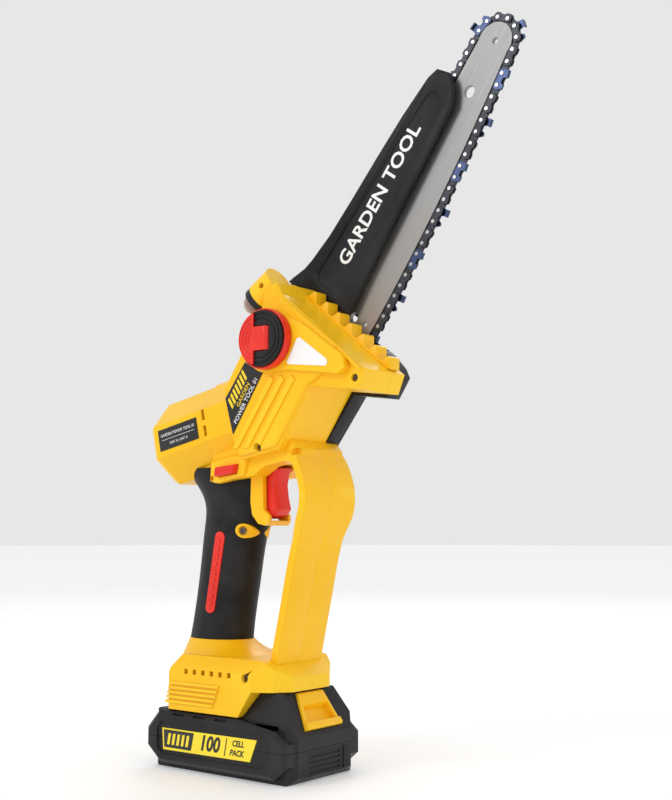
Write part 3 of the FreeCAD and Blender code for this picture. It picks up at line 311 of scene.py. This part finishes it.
@dataclass(frozen=True)
class SoftTouch:
    """Rubber overmould with pebble grain and dust in the hollows."""

    name: str
    colour: Colour
    pebble_scale: float = 1150.0
    pebble_depth: float = 0.00012
    dust_scale: float = 40.0
    dust_lift: float = 0.02
    shine: float = 0.22

    def build(self) -> bpy.types.Material:
        """Makes the material."""
        g = Graph(self.name)
        pebbles = g.node("ShaderNodeTexVoronoi", {"feature": "SMOOTH_F1"},
                         {"Vector": g.coordinates, "Scale": self.pebble_scale})
        dust = g.noise(self.dust_scale, 5.0)
        grey = tuple(c + self.dust_lift for c in self.colour)
        g.set(Base_Color=g.mix(g.range(dust, 0.45, 0.75), self.colour, grey),
              Roughness=g.vary(dust, 0.42, 0.6),
              Normal=g.bump(pebbles, self.pebble_depth, 0.35))
        g.shader.inputs["Specular IOR Level"].default_value = self.shine
        return g.material


@dataclass(frozen=True)
class Ground:
    """Steel ground or brushed along one direction, with oil stains."""

    name: str
    colour: Colour
    tint_colour: Colour
    roughness: float = 0.3
    oil: float = 0.4
    line_scale: float = 30.0
    line_stretch: float = 60.0
    spot_scale: float = 38.0
    line_depth: float = 0.00003

    def build(self) -> bpy.types.Material:
        """Makes the material."""
        g = Graph(self.name)
        turn = (0.0, -math.radians(BAR_ANGLE), 0.0)
        lines = g.noise(self.line_scale, 4.0, (1.0, self.line_stretch, self.line_stretch), turn)
        spots = g.noise(self.spot_scale, 6.0)
        stained = g.range(spots, 0.5, 0.8) * self.oil
        bright = tuple(min(1.0, c * 1.12) for c in self.colour)
        dull = tuple(c * 0.86 for c in self.colour)
        g.set(Base_Color=g.mix(stained, g.mix(lines, dull, bright), self.tint_colour),
              Metallic=g.range(stained, 0.0, 0.6, 1.0, 0.75),
              Roughness=g.vary(lines, self.roughness - 0.07, self.roughness + 0.1),
              Normal=g.bump(lines, self.line_depth, 0.6))
        return g.material


@dataclass(frozen=True)
class BarSteel:
    """Guide bar: ground along its length, browner and less metallic lower down, towards the housing.
    """

    name: str = "bar_steel"
    dark: Colour = (0.25, 0.25, 0.25)
    bright: Colour = (0.36, 0.355, 0.35)
    # Brown tint colour, laid on lower down by height.
    tint_colour: Colour = (0.34, 0.27, 0.21)
    tint_bottom: float = 0.285
    tint_top: float = 0.40
    line_scale: float = 22.0
    line_stretch: float = 90.0
    spot_scale: float = 45.0
    line_depth: float = 0.00004

    def build(self) -> bpy.types.Material:
        """Makes the material."""
        g = Graph(self.name)
        turn = (0.0, -math.radians(BAR_ANGLE), 0.0)
        lines = g.noise(self.line_scale, 5.0, (1.0, self.line_stretch, self.line_stretch), turn)
        spots = g.noise(self.spot_scale, 7.0)
        height = g.node("ShaderNodeSeparateXYZ", None, {0: g.coordinates}, "Z")
        # Brown tint by height: full below the lower mark, near the housing, gone above the upper
        # mark, with spots adding to it; it also lowers the metal.
        low = g.range(height, self.tint_bottom, self.tint_top, 1.0, 0.0)
        brown_share = g.range(low * 0.75 + g.range(spots, 0.45, 0.8) * 0.35, 0.35, 1.0)
        steel = g.mix(lines, self.dark, self.bright)
        g.set(Base_Color=g.mix(brown_share * 0.55, steel, self.tint_colour),
              Metallic=g.range(brown_share, 0.0, 1.0, 0.95, 0.7),
              Roughness=g.vary(lines, 0.42, 0.56),
              Normal=g.bump(lines, self.line_depth, 0.5))
        return g.material


@dataclass(frozen=True)
class ClearDome:
    """Clear soft plastic of the primer bulb."""

    name: str = "clear_bulb"
    centre: Colour = (0.30, 0.13, 0.09)
    edge: Colour = (0.62, 0.55, 0.52)
    centre_alpha: float = 0.45
    edge_alpha: float = 0.95

    def build(self) -> bpy.types.Material:
        """Makes the material."""
        g = Graph(self.name)
        haze = g.noise(220.0, 3.0)
        rim = g.node("ShaderNodeLayerWeight", None, {"Blend": 0.45}, "Facing")
        g.set(Base_Color=g.mix(rim, self.centre, self.edge),
              Roughness=g.vary(haze, 0.05, 0.12),
              Alpha=g.range(rim, 0.05, 0.8, self.centre_alpha, self.edge_alpha))
        g.shader.inputs["Coat Weight"].default_value = 0.6
        return g.material


@dataclass(frozen=True)
class Milky:
    """Translucent tank plastic."""

    name: str = "milky_plastic"
    dull: Colour = (0.62, 0.63, 0.5)
    pale: Colour = (0.78, 0.79, 0.7)

    def build(self) -> bpy.types.Material:
        """Makes the material."""
        g = Graph(self.name)
        clouds = g.noise(60.0, 4.0)
        g.set(Base_Color=g.mix(clouds, self.dull, self.pale),
              Roughness=g.vary(clouds, 0.3, 0.45))
        g.shader.inputs["Subsurface Weight"].default_value = 0.2
        return g.material


@dataclass(frozen=True)
class Board:
    """Circuit board: solder mask with copper tracks."""

    name: str = "circuit_board"
    mask: Colour = (0.01, 0.12, 0.05)
    mask_light: Colour = (0.012, 0.14, 0.06)
    copper: Colour = (0.35, 0.24, 0.08)

    def build(self) -> bpy.types.Material:
        """Makes the material."""
        g = Graph(self.name)
        tracks = g.node("ShaderNodeTexBrick", None,
                        {"Vector": g.coordinates, "Scale": 260.0, "Mortar Size": 0.06,
                         "Color1": self.mask, "Color2": self.mask_light, "Mortar": self.copper})
        g.set(Base_Color=tracks, Roughness=g.vary(g.noise(300.0), 0.25, 0.45))
        return g.material


@dataclass(frozen=True)
class FloorPaint:
    """Plain pale floor."""

    name: str = "studio_floor"
    colour: Colour = (0.85, 0.85, 0.85)
    glow: float = 0.20

    def build(self) -> bpy.types.Material:
        """Makes the material."""
        g = Graph(self.name)
        g.set(Base_Color=self.colour, Roughness=0.7, Emission_Color=(1.0, 1.0, 1.0))
        g.shader.inputs["Emission Strength"].default_value = self.glow
        return g.material


class Finish(Enum):
    """Every finish of the saw, named for where it is used."""

    YELLOW = Moulded("yellow_plastic", (0.98, 0.53, 0.002), 0.34, lift=0.04, coat=0.1, shine=0.2)
    BLACK = Moulded("black_plastic", (0.007, 0.007, 0.008), 0.34, 0.00004, 1800.0, 0.3, shine=0.22)
    GUARD = Moulded("guard_plastic", (0.008, 0.009, 0.011), 0.42, 0.00006, 1500.0, 0.3, shine=0.2)
    RED = Moulded("red_plastic", (0.78, 0.022, 0.010), 0.28, lift=0.08, coat=0.2, shine=0.25)
    # Painted highlight: this glossy white sheet is the white_inlay, put where a lamp's glare whitens
    # the glossy yellow face beside the knob.
    PAINTED_HIGHLIGHT_WHITE = Moulded("white_plastic", (0.86, 0.85, 0.83), 0.22, lift=0.03, coat=0.3)
    FILM = Moulded("label_film", (0.008, 0.008, 0.009), 0.22, 0.00001, lift=0.3)
    PRINT_WHITE = Moulded("white_ink", (0.85, 0.85, 0.84), 0.45, 0.00001, lift=0.05)
    PRINT_YELLOW = Moulded("yellow_ink", (0.93, 0.60, 0.01), 0.4, 0.00001, lift=0.05)
    LABEL_YELLOW = Moulded("yellow_film", (0.92, 0.66, 0.02), 0.28, 0.00001, lift=0.05)
    PRINT_BLACK = Moulded("black_ink", (0.012, 0.011, 0.01), 0.4, 0.00001, lift=0.2)
    RUBBER = SoftTouch("soft_touch", (0.006, 0.006, 0.007))
    BAR = BarSteel()
    CHAIN = Ground("chain_steel", (0.055, 0.057, 0.066), (0.014, 0.013, 0.012), 0.38, oil=0.7)
    CUTTER = Ground("cutter_steel", (0.055, 0.075, 0.15), (0.018, 0.02, 0.026), 0.3, oil=0.5)
    RIVET = Ground("rivet_steel", (0.40, 0.39, 0.40), (0.12, 0.11, 0.10), 0.26, oil=0.4)
    SCREW = Ground("dark_steel", (0.16, 0.14, 0.12), (0.05, 0.04, 0.03), 0.34, oil=0.5)
    ALLOY = Ground("cast_alloy", (0.5, 0.5, 0.51), (0.3, 0.3, 0.3), 0.45, oil=0.2)
    BRASS = Ground("contact_brass", (0.72, 0.52, 0.22), (0.4, 0.28, 0.12), 0.3, oil=0.2)
    CELL = Moulded("cell_wrap", (0.03, 0.15, 0.38), 0.25, lift=0.1)
    DOME = ClearDome()
    TANK = Milky()
    BOARD = Board()
    FLOOR = FloorPaint()


class Paintbox:
    """Builds each finish once and hands out its material."""

    def __init__(self) -> None:
        """Starts with no material built."""
        self._made: dict[Finish, bpy.types.Material] = {}

    def get(self, finish: Finish) -> bpy.types.Material:
        """Returns the material of a finish."""
        if finish not in self._made:
            self._made[finish] = finish.value.build()
        return self._made[finish]

    def dress(self, obj: bpy.types.Object, finish: Finish) -> None:
        """Gives an object one finish in its only slot."""
        obj.data.materials.clear()
        obj.data.materials.append(self.get(finish))


# ---------------------------------------------------------------- modelling by operators
def only(obj: bpy.types.Object) -> None:
    """Makes one object the selected and active one."""
    bpy.ops.object.select_all(action="DESELECT")
    obj.select_set(True)
    bpy.context.view_layer.objects.active = obj


def settle(obj: bpy.types.Object, matrix: Matrix) -> None:
    """Puts an object in place and leaves the place in its mesh."""
    obj.data.transform(matrix @ obj.matrix_world)
    obj.matrix_world = Matrix.Identity(4)


def edit(obj: bpy.types.Object, action: Callable[[], None]) -> None:
    """Runs edit-mode operators on the whole of an object's mesh.

    Args:
        obj: the mesh object.
        action: what to run once all its mesh is selected.
    """
    only(obj)
    bpy.ops.object.mode_set(mode="EDIT")
    bpy.ops.mesh.select_all(action="SELECT")
    action()
    bpy.ops.object.mode_set(mode="OBJECT")


def add_text(name: str, words: str, height: float, matrix: Matrix, depth: float = 0.12,
             stretch: float = 1.0, slant: float = 0.0, weight: float = 0.02) -> bpy.types.Object:
    """Raised lettering as a mesh.

    Args:
        name: name of the piece.
        words: what it says.
        height: letter height in millimetres.
        matrix: where its middle goes.
        depth: thickness in millimetres.
        stretch: width factor of the letters.
        slant: shear of the letters.
        weight: how much the strokes are thickened, as a share of the height.

    Returns:
        The finished mesh object.
    """
    bpy.ops.object.select_all(action="DESELECT")
    bpy.ops.object.text_add()
    text = bpy.context.active_object
    text.name = name
    text.data.body = words
    text.data.align_x = "CENTER"
    text.data.align_y = "CENTER"
    text.data.size = height * MM * TEXT_SIZE_PER_LETTER_HEIGHT
    text.data.extrude = depth * MM / 2
    text.data.offset = height * MM * weight
    text.data.shear = slant
    text.data.resolution_u = 3
    bpy.ops.object.convert(target="MESH")
    obj = bpy.context.active_object
    obj.name = name
    obj.scale = (stretch, 1.0, 1.0)
    bpy.ops.object.transform_apply(location=True, rotation=True, scale=True)
    settle(obj, matrix)
    return obj


def add_plate(name: str, corners: list[tuple[float, float]], matrix: Matrix,
              depth: float) -> bpy.types.Object:
    """Flat plate drawn as a polygon and extruded.

    Args:
        name: name of the piece.
        corners: outline in the plate's own plane, in millimetres.
        matrix: where its origin goes.
        depth: thickness in millimetres.

    Returns:
        The finished mesh object.
    """
    bpy.ops.object.select_all(action="DESELECT")
    bpy.ops.mesh.primitive_circle_add(vertices=len(corners), radius=1.0, fill_type="NGON")
    obj = bpy.context.active_object
    obj.name = name
    for vertex, (x, y) in zip(obj.data.vertices, corners):
        vertex.co = (x * MM, y * MM, 0.0)

    def thicken() -> None:
        """Extrudes the face and turns all faces outwards."""
        bpy.ops.mesh.extrude_region_move(TRANSFORM_OT_translate={"value": (0, 0, depth * MM)})
        bpy.ops.mesh.select_all(action="SELECT")
        bpy.ops.mesh.normals_make_consistent(inside=False)

    edit(obj, thicken)
    settle(obj, matrix)
    return obj


def smooth(obj: bpy.types.Object) -> None:
    """Smooth shading, but not across sharp edges."""
    only(obj)
    bpy.ops.object.shade_smooth_by_angle(angle=math.radians(SMOOTH_ANGLE))


def join_pieces(name: str, parts: list[bpy.types.Object]) -> bpy.types.Object:
    """Joins objects into one piece.

    Args:
        name: name of the piece.
        parts: the objects to join.

    Returns:
        The joined object.
    """
    bpy.ops.object.select_all(action="DESELECT")
    for part in parts:
        part.select_set(True)
    bpy.context.view_layer.objects.active = parts[0]
    bpy.ops.object.join()
    parts[0].name = name
    return parts[0]


def rounded_copy(node: str, body: str, width: float, finish: Finish,
                 paint: Paintbox) -> bpy.types.Object:
    """Copy of a CAD node with merged faces and rounded edges, standing for the node.

    Args:
        node: the CAD node to copy.
        body: the body that it rides on.
        width: edge rounding in millimetres.
        finish: its finish.
        paint: where finishes come from.

    Returns:
        The new piece.
    """
    source = bpy.data.objects[node]
    obj = bpy.data.objects.new(node + "_rounded", source.data.copy())
    bpy.context.scene.collection.objects.link(obj)

    def clean() -> None:
        """Merges the loose triangles into flat faces."""
        bpy.ops.mesh.remove_doubles(threshold=MERGE_DISTANCE)
        bpy.ops.mesh.dissolve_limited(angle_limit=math.radians(FLAT_ANGLE), delimit=set())

    edit(obj, clean)
    bevel = obj.modifiers.new("edge", "BEVEL")
    bevel.width = width * MM
    bevel.segments = 3
    bevel.limit_method = "ANGLE"
    bevel.angle_limit = math.radians(ROUNDED_ANGLE)
    bevel.use_clamp_overlap = True
    bevel.miter_outer = "MITER_ARC"
    bevel.harden_normals = False
    bpy.ops.object.modifier_apply(modifier="edge")
    edit(obj, lambda: bpy.ops.mesh.quads_convert_to_tris())
    smooth(obj)
    paint.dress(obj, finish)
    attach(obj, body)
    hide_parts(node)
    return obj


# ---------------------------------------------------------------- sub-assemblies
@dataclass
class Assembly:
    """What every sub-assembly has: its CAD nodes with their finishes, and its body."""

    paint: Paintbox
    slots: dict[str, str]
    body: str = "housing"
    finishes: dict[str, Finish] = field(default_factory=dict)
    rounding: dict[str, float] = field(default_factory=dict)

    def dress_nodes(self) -> None:
        """Gives each CAD node its finish, with rounded edges where they are asked for."""
        for node, finish in self.finishes.items():
            if node in self.rounding:
                piece = rounded_copy(node, self.body, self.rounding[node], finish, self.paint)
            else:
                self.paint.dress(bpy.data.objects[node], finish)
            LOG.info("%s: %s", node, finish.name.lower())

    def attach(self, obj: bpy.types.Object, finish: Finish, slot: str) -> bpy.types.Object:
        """Dresses a new piece and lets it ride on this body.

        Args:
            obj: the new piece.
            finish: its finish.
            slot: material slot of the record; not used.

        Returns:
            The same piece.
        """
        self.paint.dress(obj, finish)
        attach(obj, self.body)
        LOG.info("%s: %s", obj.name, finish.name.lower())
        return obj

    def build(self) -> None:
        """Builds and dresses the sub-assembly."""
        self.dress_nodes()


@dataclass
class Housing(Assembly):
    """Both shells, the bow, the grip skin and the printed labels."""

    label_lift: float = 0.03
    letter_height: float = 3.0
    stripes_place: tuple[float, float] = (-5.5, 25.0)
    words_place: tuple[float, float] = (-6.0, 18.9)
    second_line_place: tuple[float, float] = (-8.0, 14.9)
    motor_label_along: float = -80.2
    motor_lines: tuple = (("motor_words", "GARDEN POWER TOOL 01", 1.95, 2.7),
                          ("motor_data", "UNIT A | UNIT B", 1.7, -3.4))
    rule_rise: float = -0.3
    rule_outline: tuple = ((-15, -0.15), (15, -0.15), (15, 0.15), (-15, 0.15))

    def stripes(self, name: str, count: int, width: float, height: float, matrix: Matrix,
                slot: str, finish: Finish) -> None:
        """Row of slanted bars, a plain motif.

        Args:
            name: name of the piece.
            count: how many bars.
            width: width of one bar in millimetres.
            height: height of the bars in millimetres.
            matrix: place of the row's middle.
            slot: material slot of the record.
            finish: its finish.
        """
        bars = []
        pitch = width * 1.6
        for i in range(count):
            x = (i - (count - 1) / 2) * pitch
            lean = height * 0.22
            corners = [(x - width / 2 - lean, -height / 2), (x + width / 2 - lean, -height / 2),
                       (x + width / 2 + lean, height / 2), (x - width / 2 + lean, height / 2)]
            bars.append(add_plate(f"{name}_{i}", corners, matrix, 0.08))
        self.attach(join_pieces(name, bars), finish, slot)

    def head_label(self) -> None:
        """Words and stripes on the black film beside the motor."""
        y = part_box("head_label")[0].y / MM - self.label_lift
        right, up = reading_frame(BAR_ANGLE)

        def at(place: tuple[float, float]) -> Matrix:
            """Place on the film, in the frame of the bar."""
            x, z = turned(SPROCKET, BAR_ANGLE, *place)
            return place_matrix(x, y, z, right, up)

        self.stripes("head_stripes", 7, 2.1, 6.4, at(self.stripes_place), "label_print",
                     Finish.PRINT_YELLOW)
        words = add_text("head_words", "GARDEN", self.letter_height, at(self.words_place))
        self.attach(words, Finish.PRINT_YELLOW, "label_print")
        size = add_text("head_size", "POWER TOOL 01", self.letter_height, at(self.second_line_place))
        self.attach(size, Finish.PRINT_WHITE, "label_print")

    def motor_label(self) -> None:
        """Two lines of small lettering on the motor barrel."""
        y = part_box("motor_label")[0].y / MM - self.label_lift
        right, up = reading_frame(MOTOR_ANGLE)

        def at(rise: float) -> Matrix:
            """Place on the label's middle line, in the frame of the motor."""
            x, z = turned(SPROCKET, MOTOR_ANGLE, self.motor_label_along, rise)
            return place_matrix(x, y, z, right, up)

        for name, words, letter, rise in self.motor_lines:
            text = add_text(name, words, letter, at(rise), 0.08, 0.95)
            self.attach(text, Finish.PRINT_WHITE, "label_print")
        rule = add_plate("motor_rule", list(self.rule_outline), at(self.rule_rise), 0.08)
        self.attach(rule, Finish.PRINT_WHITE, "label_print")

    def build(self) -> None:
        """Dresses the shells and prints the labels."""
        self.dress_nodes()
        self.head_label()
        self.motor_label()


@dataclass
class Guard(Assembly):
    """Hinged guard with its lettering."""

    letter: float = 9.4
    words_place: tuple[float, float] = (137.0, 23.5)
    recess_depth: float = 0.68
    lean: tuple[float, float, float] = (0.045, 0, -0.03)

    def build(self) -> None:
        """Dresses the guard and raises the words in its recess."""
        self.dress_nodes()
        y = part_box("guard")[0].y / MM + self.recess_depth
        right = (reading_frame(BAR_ANGLE)[0] + Vector(self.lean)).normalized()
        up = Vector((-right.z, 0, right.x))
        x, z = turned(SPROCKET, BAR_ANGLE, *self.words_place)
        words = add_text("guard_words", "GARDEN TOOL", self.letter,
                         place_matrix(x, y, z, right, up), 0.3, 1.04, 0.0, 0.03)
        self.attach(words, Finish.PRINT_WHITE, "white_plastic")


@dataclass
class Battery(Assembly):
    """Battery pack with its printed side labels."""

    middle_x: float = -1.5
    middle_z: float = 18.4
    print_lift: float = 0.03
    bar_count: int = 5
    bar_pitch: float = 4.0
    bar_outline: tuple = ((-1.0, -3.4), (1.2, -3.4), (2.6, 3.6), (0.4, 3.6))
    rule_outline: tuple = ((13.2, -5.0), (13.9, -5.0), (15.9, 5.6), (15.2, 5.6))
    words: tuple = (("volts", "100", 9.0, 0.6, 0.2), ("cells", "CELL", 3.5, 24.5, 3.0),
                    ("charge", "PACK", 3.5, 23.4, -2.6))

    def print_side(self, side: str, right: Vector, y: float, first_bar: float, patch: list) -> None:
        """Prints one side's label.

        Args:
            side: name of the side.
            right: reading direction.
            y: place of the film's face in millimetres.
            first_bar: place of the first bar of the gauge along the label.
            patch: outline of the dark patch under the gauge.
        """
        up = Vector((0, 0, 1))

        def at(along: float, rise: float) -> Matrix:
            """Place on the label, along the reading direction."""
            return place_matrix(self.middle_x + right.x * along, y, self.middle_z + rise, right, up)

        block = add_plate(f"label_patch_{side}", patch, at(0, 0), 0.06)
        self.attach(block, Finish.PRINT_BLACK, "label_print")
        bars = []
        for i in range(self.bar_count):
            start = first_bar + self.bar_pitch * i
            corners = [(start + x, z) for x, z in self.bar_outline]
            bars.append(add_plate(f"bar_{side}_{i}", corners, at(0, 0), 0.14))
        self.attach(join_pieces(f"label_bars_{side}", bars), Finish.LABEL_YELLOW, "label_print")
        for name, words, letter, along, rise in self.words:
            text = add_text(f"label_{name}_{side}", words, letter, at(along, rise), 0.1, 0.9, 0.25,
                            0.045)
            self.attach(text, Finish.PRINT_BLACK, "label_print")
        rule = add_plate(f"label_rule_{side}", list(self.rule_outline), at(0, 0), 0.08)
        self.attach(rule, Finish.PRINT_BLACK, "label_print")

    def build(self) -> None:
        """Dresses the pack and prints both labels."""
        self.dress_nodes()
        low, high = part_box("battery_labels")
        self.print_side("near", Vector((1, 0, 0)), low.y / MM - self.print_lift, -34.5,
                        [(-38.0, -5.2), (-14.6, -5.2), (-12.2, 5.6), (-38.6, 5.6)])
        self.print_side("far", Vector((-1, 0, 0)), high.y / MM + self.print_lift, -31.0,
                        [(-33.0, -5.2), (-13.6, -5.2), (-11.2, 5.4), (-34.5, 5.4)])


@dataclass(frozen=True)
class Lamp:
    """Soft square lamp: where it stands and looks, in metres, with its power in watts."""

    name: str
    place: tuple[float, float, float]
    target: tuple[float, float, float]
    power: float
    size: float

    def build(self) -> None:
        """Hangs the lamp."""
        data = bpy.data.lights.new(self.name, "AREA")
        data.energy = self.power
        data.size = self.size
        light = bpy.data.objects.new(self.name, data)
        bpy.context.scene.collection.objects.link(light)
        light.location = self.place
        aim = Vector(self.target) - Vector(self.place)
        light.rotation_mode = "QUATERNION"
        light.rotation_quaternion = aim.to_track_quat("-Z", "Y")


@dataclass
class Studio:
    """Floor, light and camera."""

    paint: Paintbox
    eye: tuple[float, float, float] = (0.52134, -0.57927, 0.15101)
    heading: float = 38.0
    pitch: float = 6.0
    lens: float = 54.0
    film: float = 36.0
    floor_radius: float = 9.0
    surroundings: float = 0.80
    lamps: tuple[Lamp, ...] = (Lamp("key", (-0.5, -1.5, 1.1), (0, 0, 0.2), 6.5, 0.6),
                               Lamp("front", (1.5, -0.4, 0.8), (0, 0, 0.2), 1.6, 0.5),
                               Lamp("rim", (-0.6, 1.2, 1.2), (0, 0, 0.25), 4.0, 0.7))

    def floor(self) -> None:
        """Large pale floor."""
        bpy.ops.object.select_all(action="DESELECT")
        bpy.ops.mesh.primitive_circle_add(vertices=96, radius=self.floor_radius, fill_type="NGON")
        floor = bpy.context.active_object
        floor.name = "floor"
        self.paint.dress(floor, Finish.FLOOR)

    def world(self) -> None:
        """Even white surroundings."""
        world = bpy.data.worlds.new("studio")
        world.use_nodes = True
        background = next(n for n in world.node_tree.nodes if n.type == "BACKGROUND")
        background.inputs["Color"].default_value = (1.0, 1.0, 1.0, 1.0)
        background.inputs["Strength"].default_value = self.surroundings
        bpy.context.scene.world = world

    def camera(self) -> None:
        """Camera at the viewing angle."""
        data = bpy.data.cameras.new("camera")
        data.lens = self.lens
        data.sensor_width = self.film
        camera = bpy.data.objects.new("camera", data)
        bpy.context.scene.collection.objects.link(camera)
        heading = math.radians(self.heading)
        pitch = math.radians(self.pitch)
        look = Vector((-math.sin(heading) * math.cos(pitch), math.cos(heading) * math.cos(pitch),
                       math.sin(pitch)))
        camera.location = self.eye
        camera.rotation_mode = "QUATERNION"
        camera.rotation_quaternion = look.to_track_quat("-Z", "Y")
        bpy.context.scene.camera = camera

    def build(self) -> None:
        """Sets the stage."""
        self.floor()
        for lamp in self.lamps:
            lamp.build()
        self.world()
        self.camera()
        bpy.context.scene.view_settings.view_transform = "Standard"
        LOG.info("studio ready")


def node_slots(record: dict[str, Any]) -> dict[str, str]:
    """Material slot of each CAD node, from the record."""
    return {row["node"]: row["material_slot"] for row in record["subparts"]}


def housing(paint: Paintbox, slots: dict[str, str]) -> Housing:
    """Everything that stays with the handle.

    Args:
        paint: where finishes come from.
        slots: material slot of each CAD node.

    Returns:
        The housing, not yet built.
    """
    f = Finish
    # white_inlay is a painted highlight: a white sheet where a lamp's glare whitens the glossy yellow
    # face.
    finishes = {"right_shell": f.YELLOW, "left_shell": f.YELLOW, "bow_right": f.YELLOW,
                "bow_left": f.YELLOW, "grip_skin_right": f.RUBBER, "grip_skin_left": f.RUBBER,
                "grip_inserts": f.RED, "spiked_bumper": f.YELLOW, "head_label": f.FILM,
                "motor_label": f.FILM, "white_inlay": f.PAINTED_HIGHLIGHT_WHITE, "housing_screws": f.SCREW,
                "guide_bar": f.BAR, "chain_cutters": f.CUTTER, "chain_straps": f.CHAIN,
                "chain_drive_links": f.CHAIN, "chain_rivets": f.RIVET, "sprocket_cover": f.BLACK,
                "bar_studs": f.SCREW, "bar_nuts": f.SCREW, "guard_pin": f.SCREW, "oil_tank": f.TANK,
                "oil_pipe": f.TANK, "bulb_collar": f.BLACK, "bulb_core": f.RED, "motor_can": f.SCREW,
                "gear_case": f.ALLOY, "bearings": f.RIVET, "switch_body": f.BLACK,
                "control_board": f.BOARD, "terminal_block": f.BLACK}
    rounding = {"bow_right": 1.2, "bow_left": 1.2, "sprocket_cover": 0.8, "spiked_bumper": 0.5}
    return Housing(paint, slots, "housing", finishes, rounding)


def moving_parts(paint: Paintbox, slots: dict[str, str]) -> list[Assembly]:
    """The sub-assemblies that ride on their own bodies.

    Args:
        paint: where finishes come from.
        slots: material slot of each CAD node.

    Returns:
        The sub-assemblies, not yet built.
    """
    f = Finish
    cap = {"oil_cap": f.BLACK, "cap_rim": f.RED, "cap_seal": f.RUBBER, "flap_pin": f.SCREW}
    rotor = {"rotor": f.SCREW, "cooling_fan": f.BLACK, "pinion": f.RIVET}
    output = {"output_shaft": f.RIVET, "bevel_gear": f.RIVET, "drive_sprocket": f.SCREW}
    battery = {"battery_upper": f.BLACK, "battery_lower": f.BLACK, "battery_cells": f.CELL,
               "battery_board": f.BOARD, "battery_contacts": f.BRASS,
               "battery_labels": f.LABEL_YELLOW}
    return [
        Guard(paint, slots, "guard", {"guard": f.GUARD}, {"guard": 0.8}),
        Assembly(paint, slots, "oil_cap", cap, {"oil_cap": 0.3, "cap_rim": 0.5}),
        Assembly(paint, slots, "cap_flap", {"cap_flap": f.RED}, {"cap_flap": 0.3}),
        Assembly(paint, slots, "primer_bulb", {"primer_bulb": f.DOME}),
        Assembly(paint, slots, "rotor", rotor),
        Assembly(paint, slots, "output", output),
        Assembly(paint, slots, "trigger", {"trigger": f.RED}, {"trigger": 0.9}),
        Assembly(paint, slots, "lock_button", {"lock_button": f.RED}, {"lock_button": 0.5}),
        Battery(paint, slots, "battery", battery),
        Assembly(paint, slots, "release_button", {"release_button": f.YELLOW},
                 {"release_button": 0.6}),
    ]


def main() -> None:
    """Builds the saw round its frame."""
    logging.basicConfig(level=logging.INFO)
    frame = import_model()
    slots = node_slots(frame["record"])
    paint = Paintbox()
    housing(paint, slots).build()
    for assembly in moving_parts(paint, slots):
        assembly.build()
    Studio(paint).build()


if __name__ == "__main__":
    main()
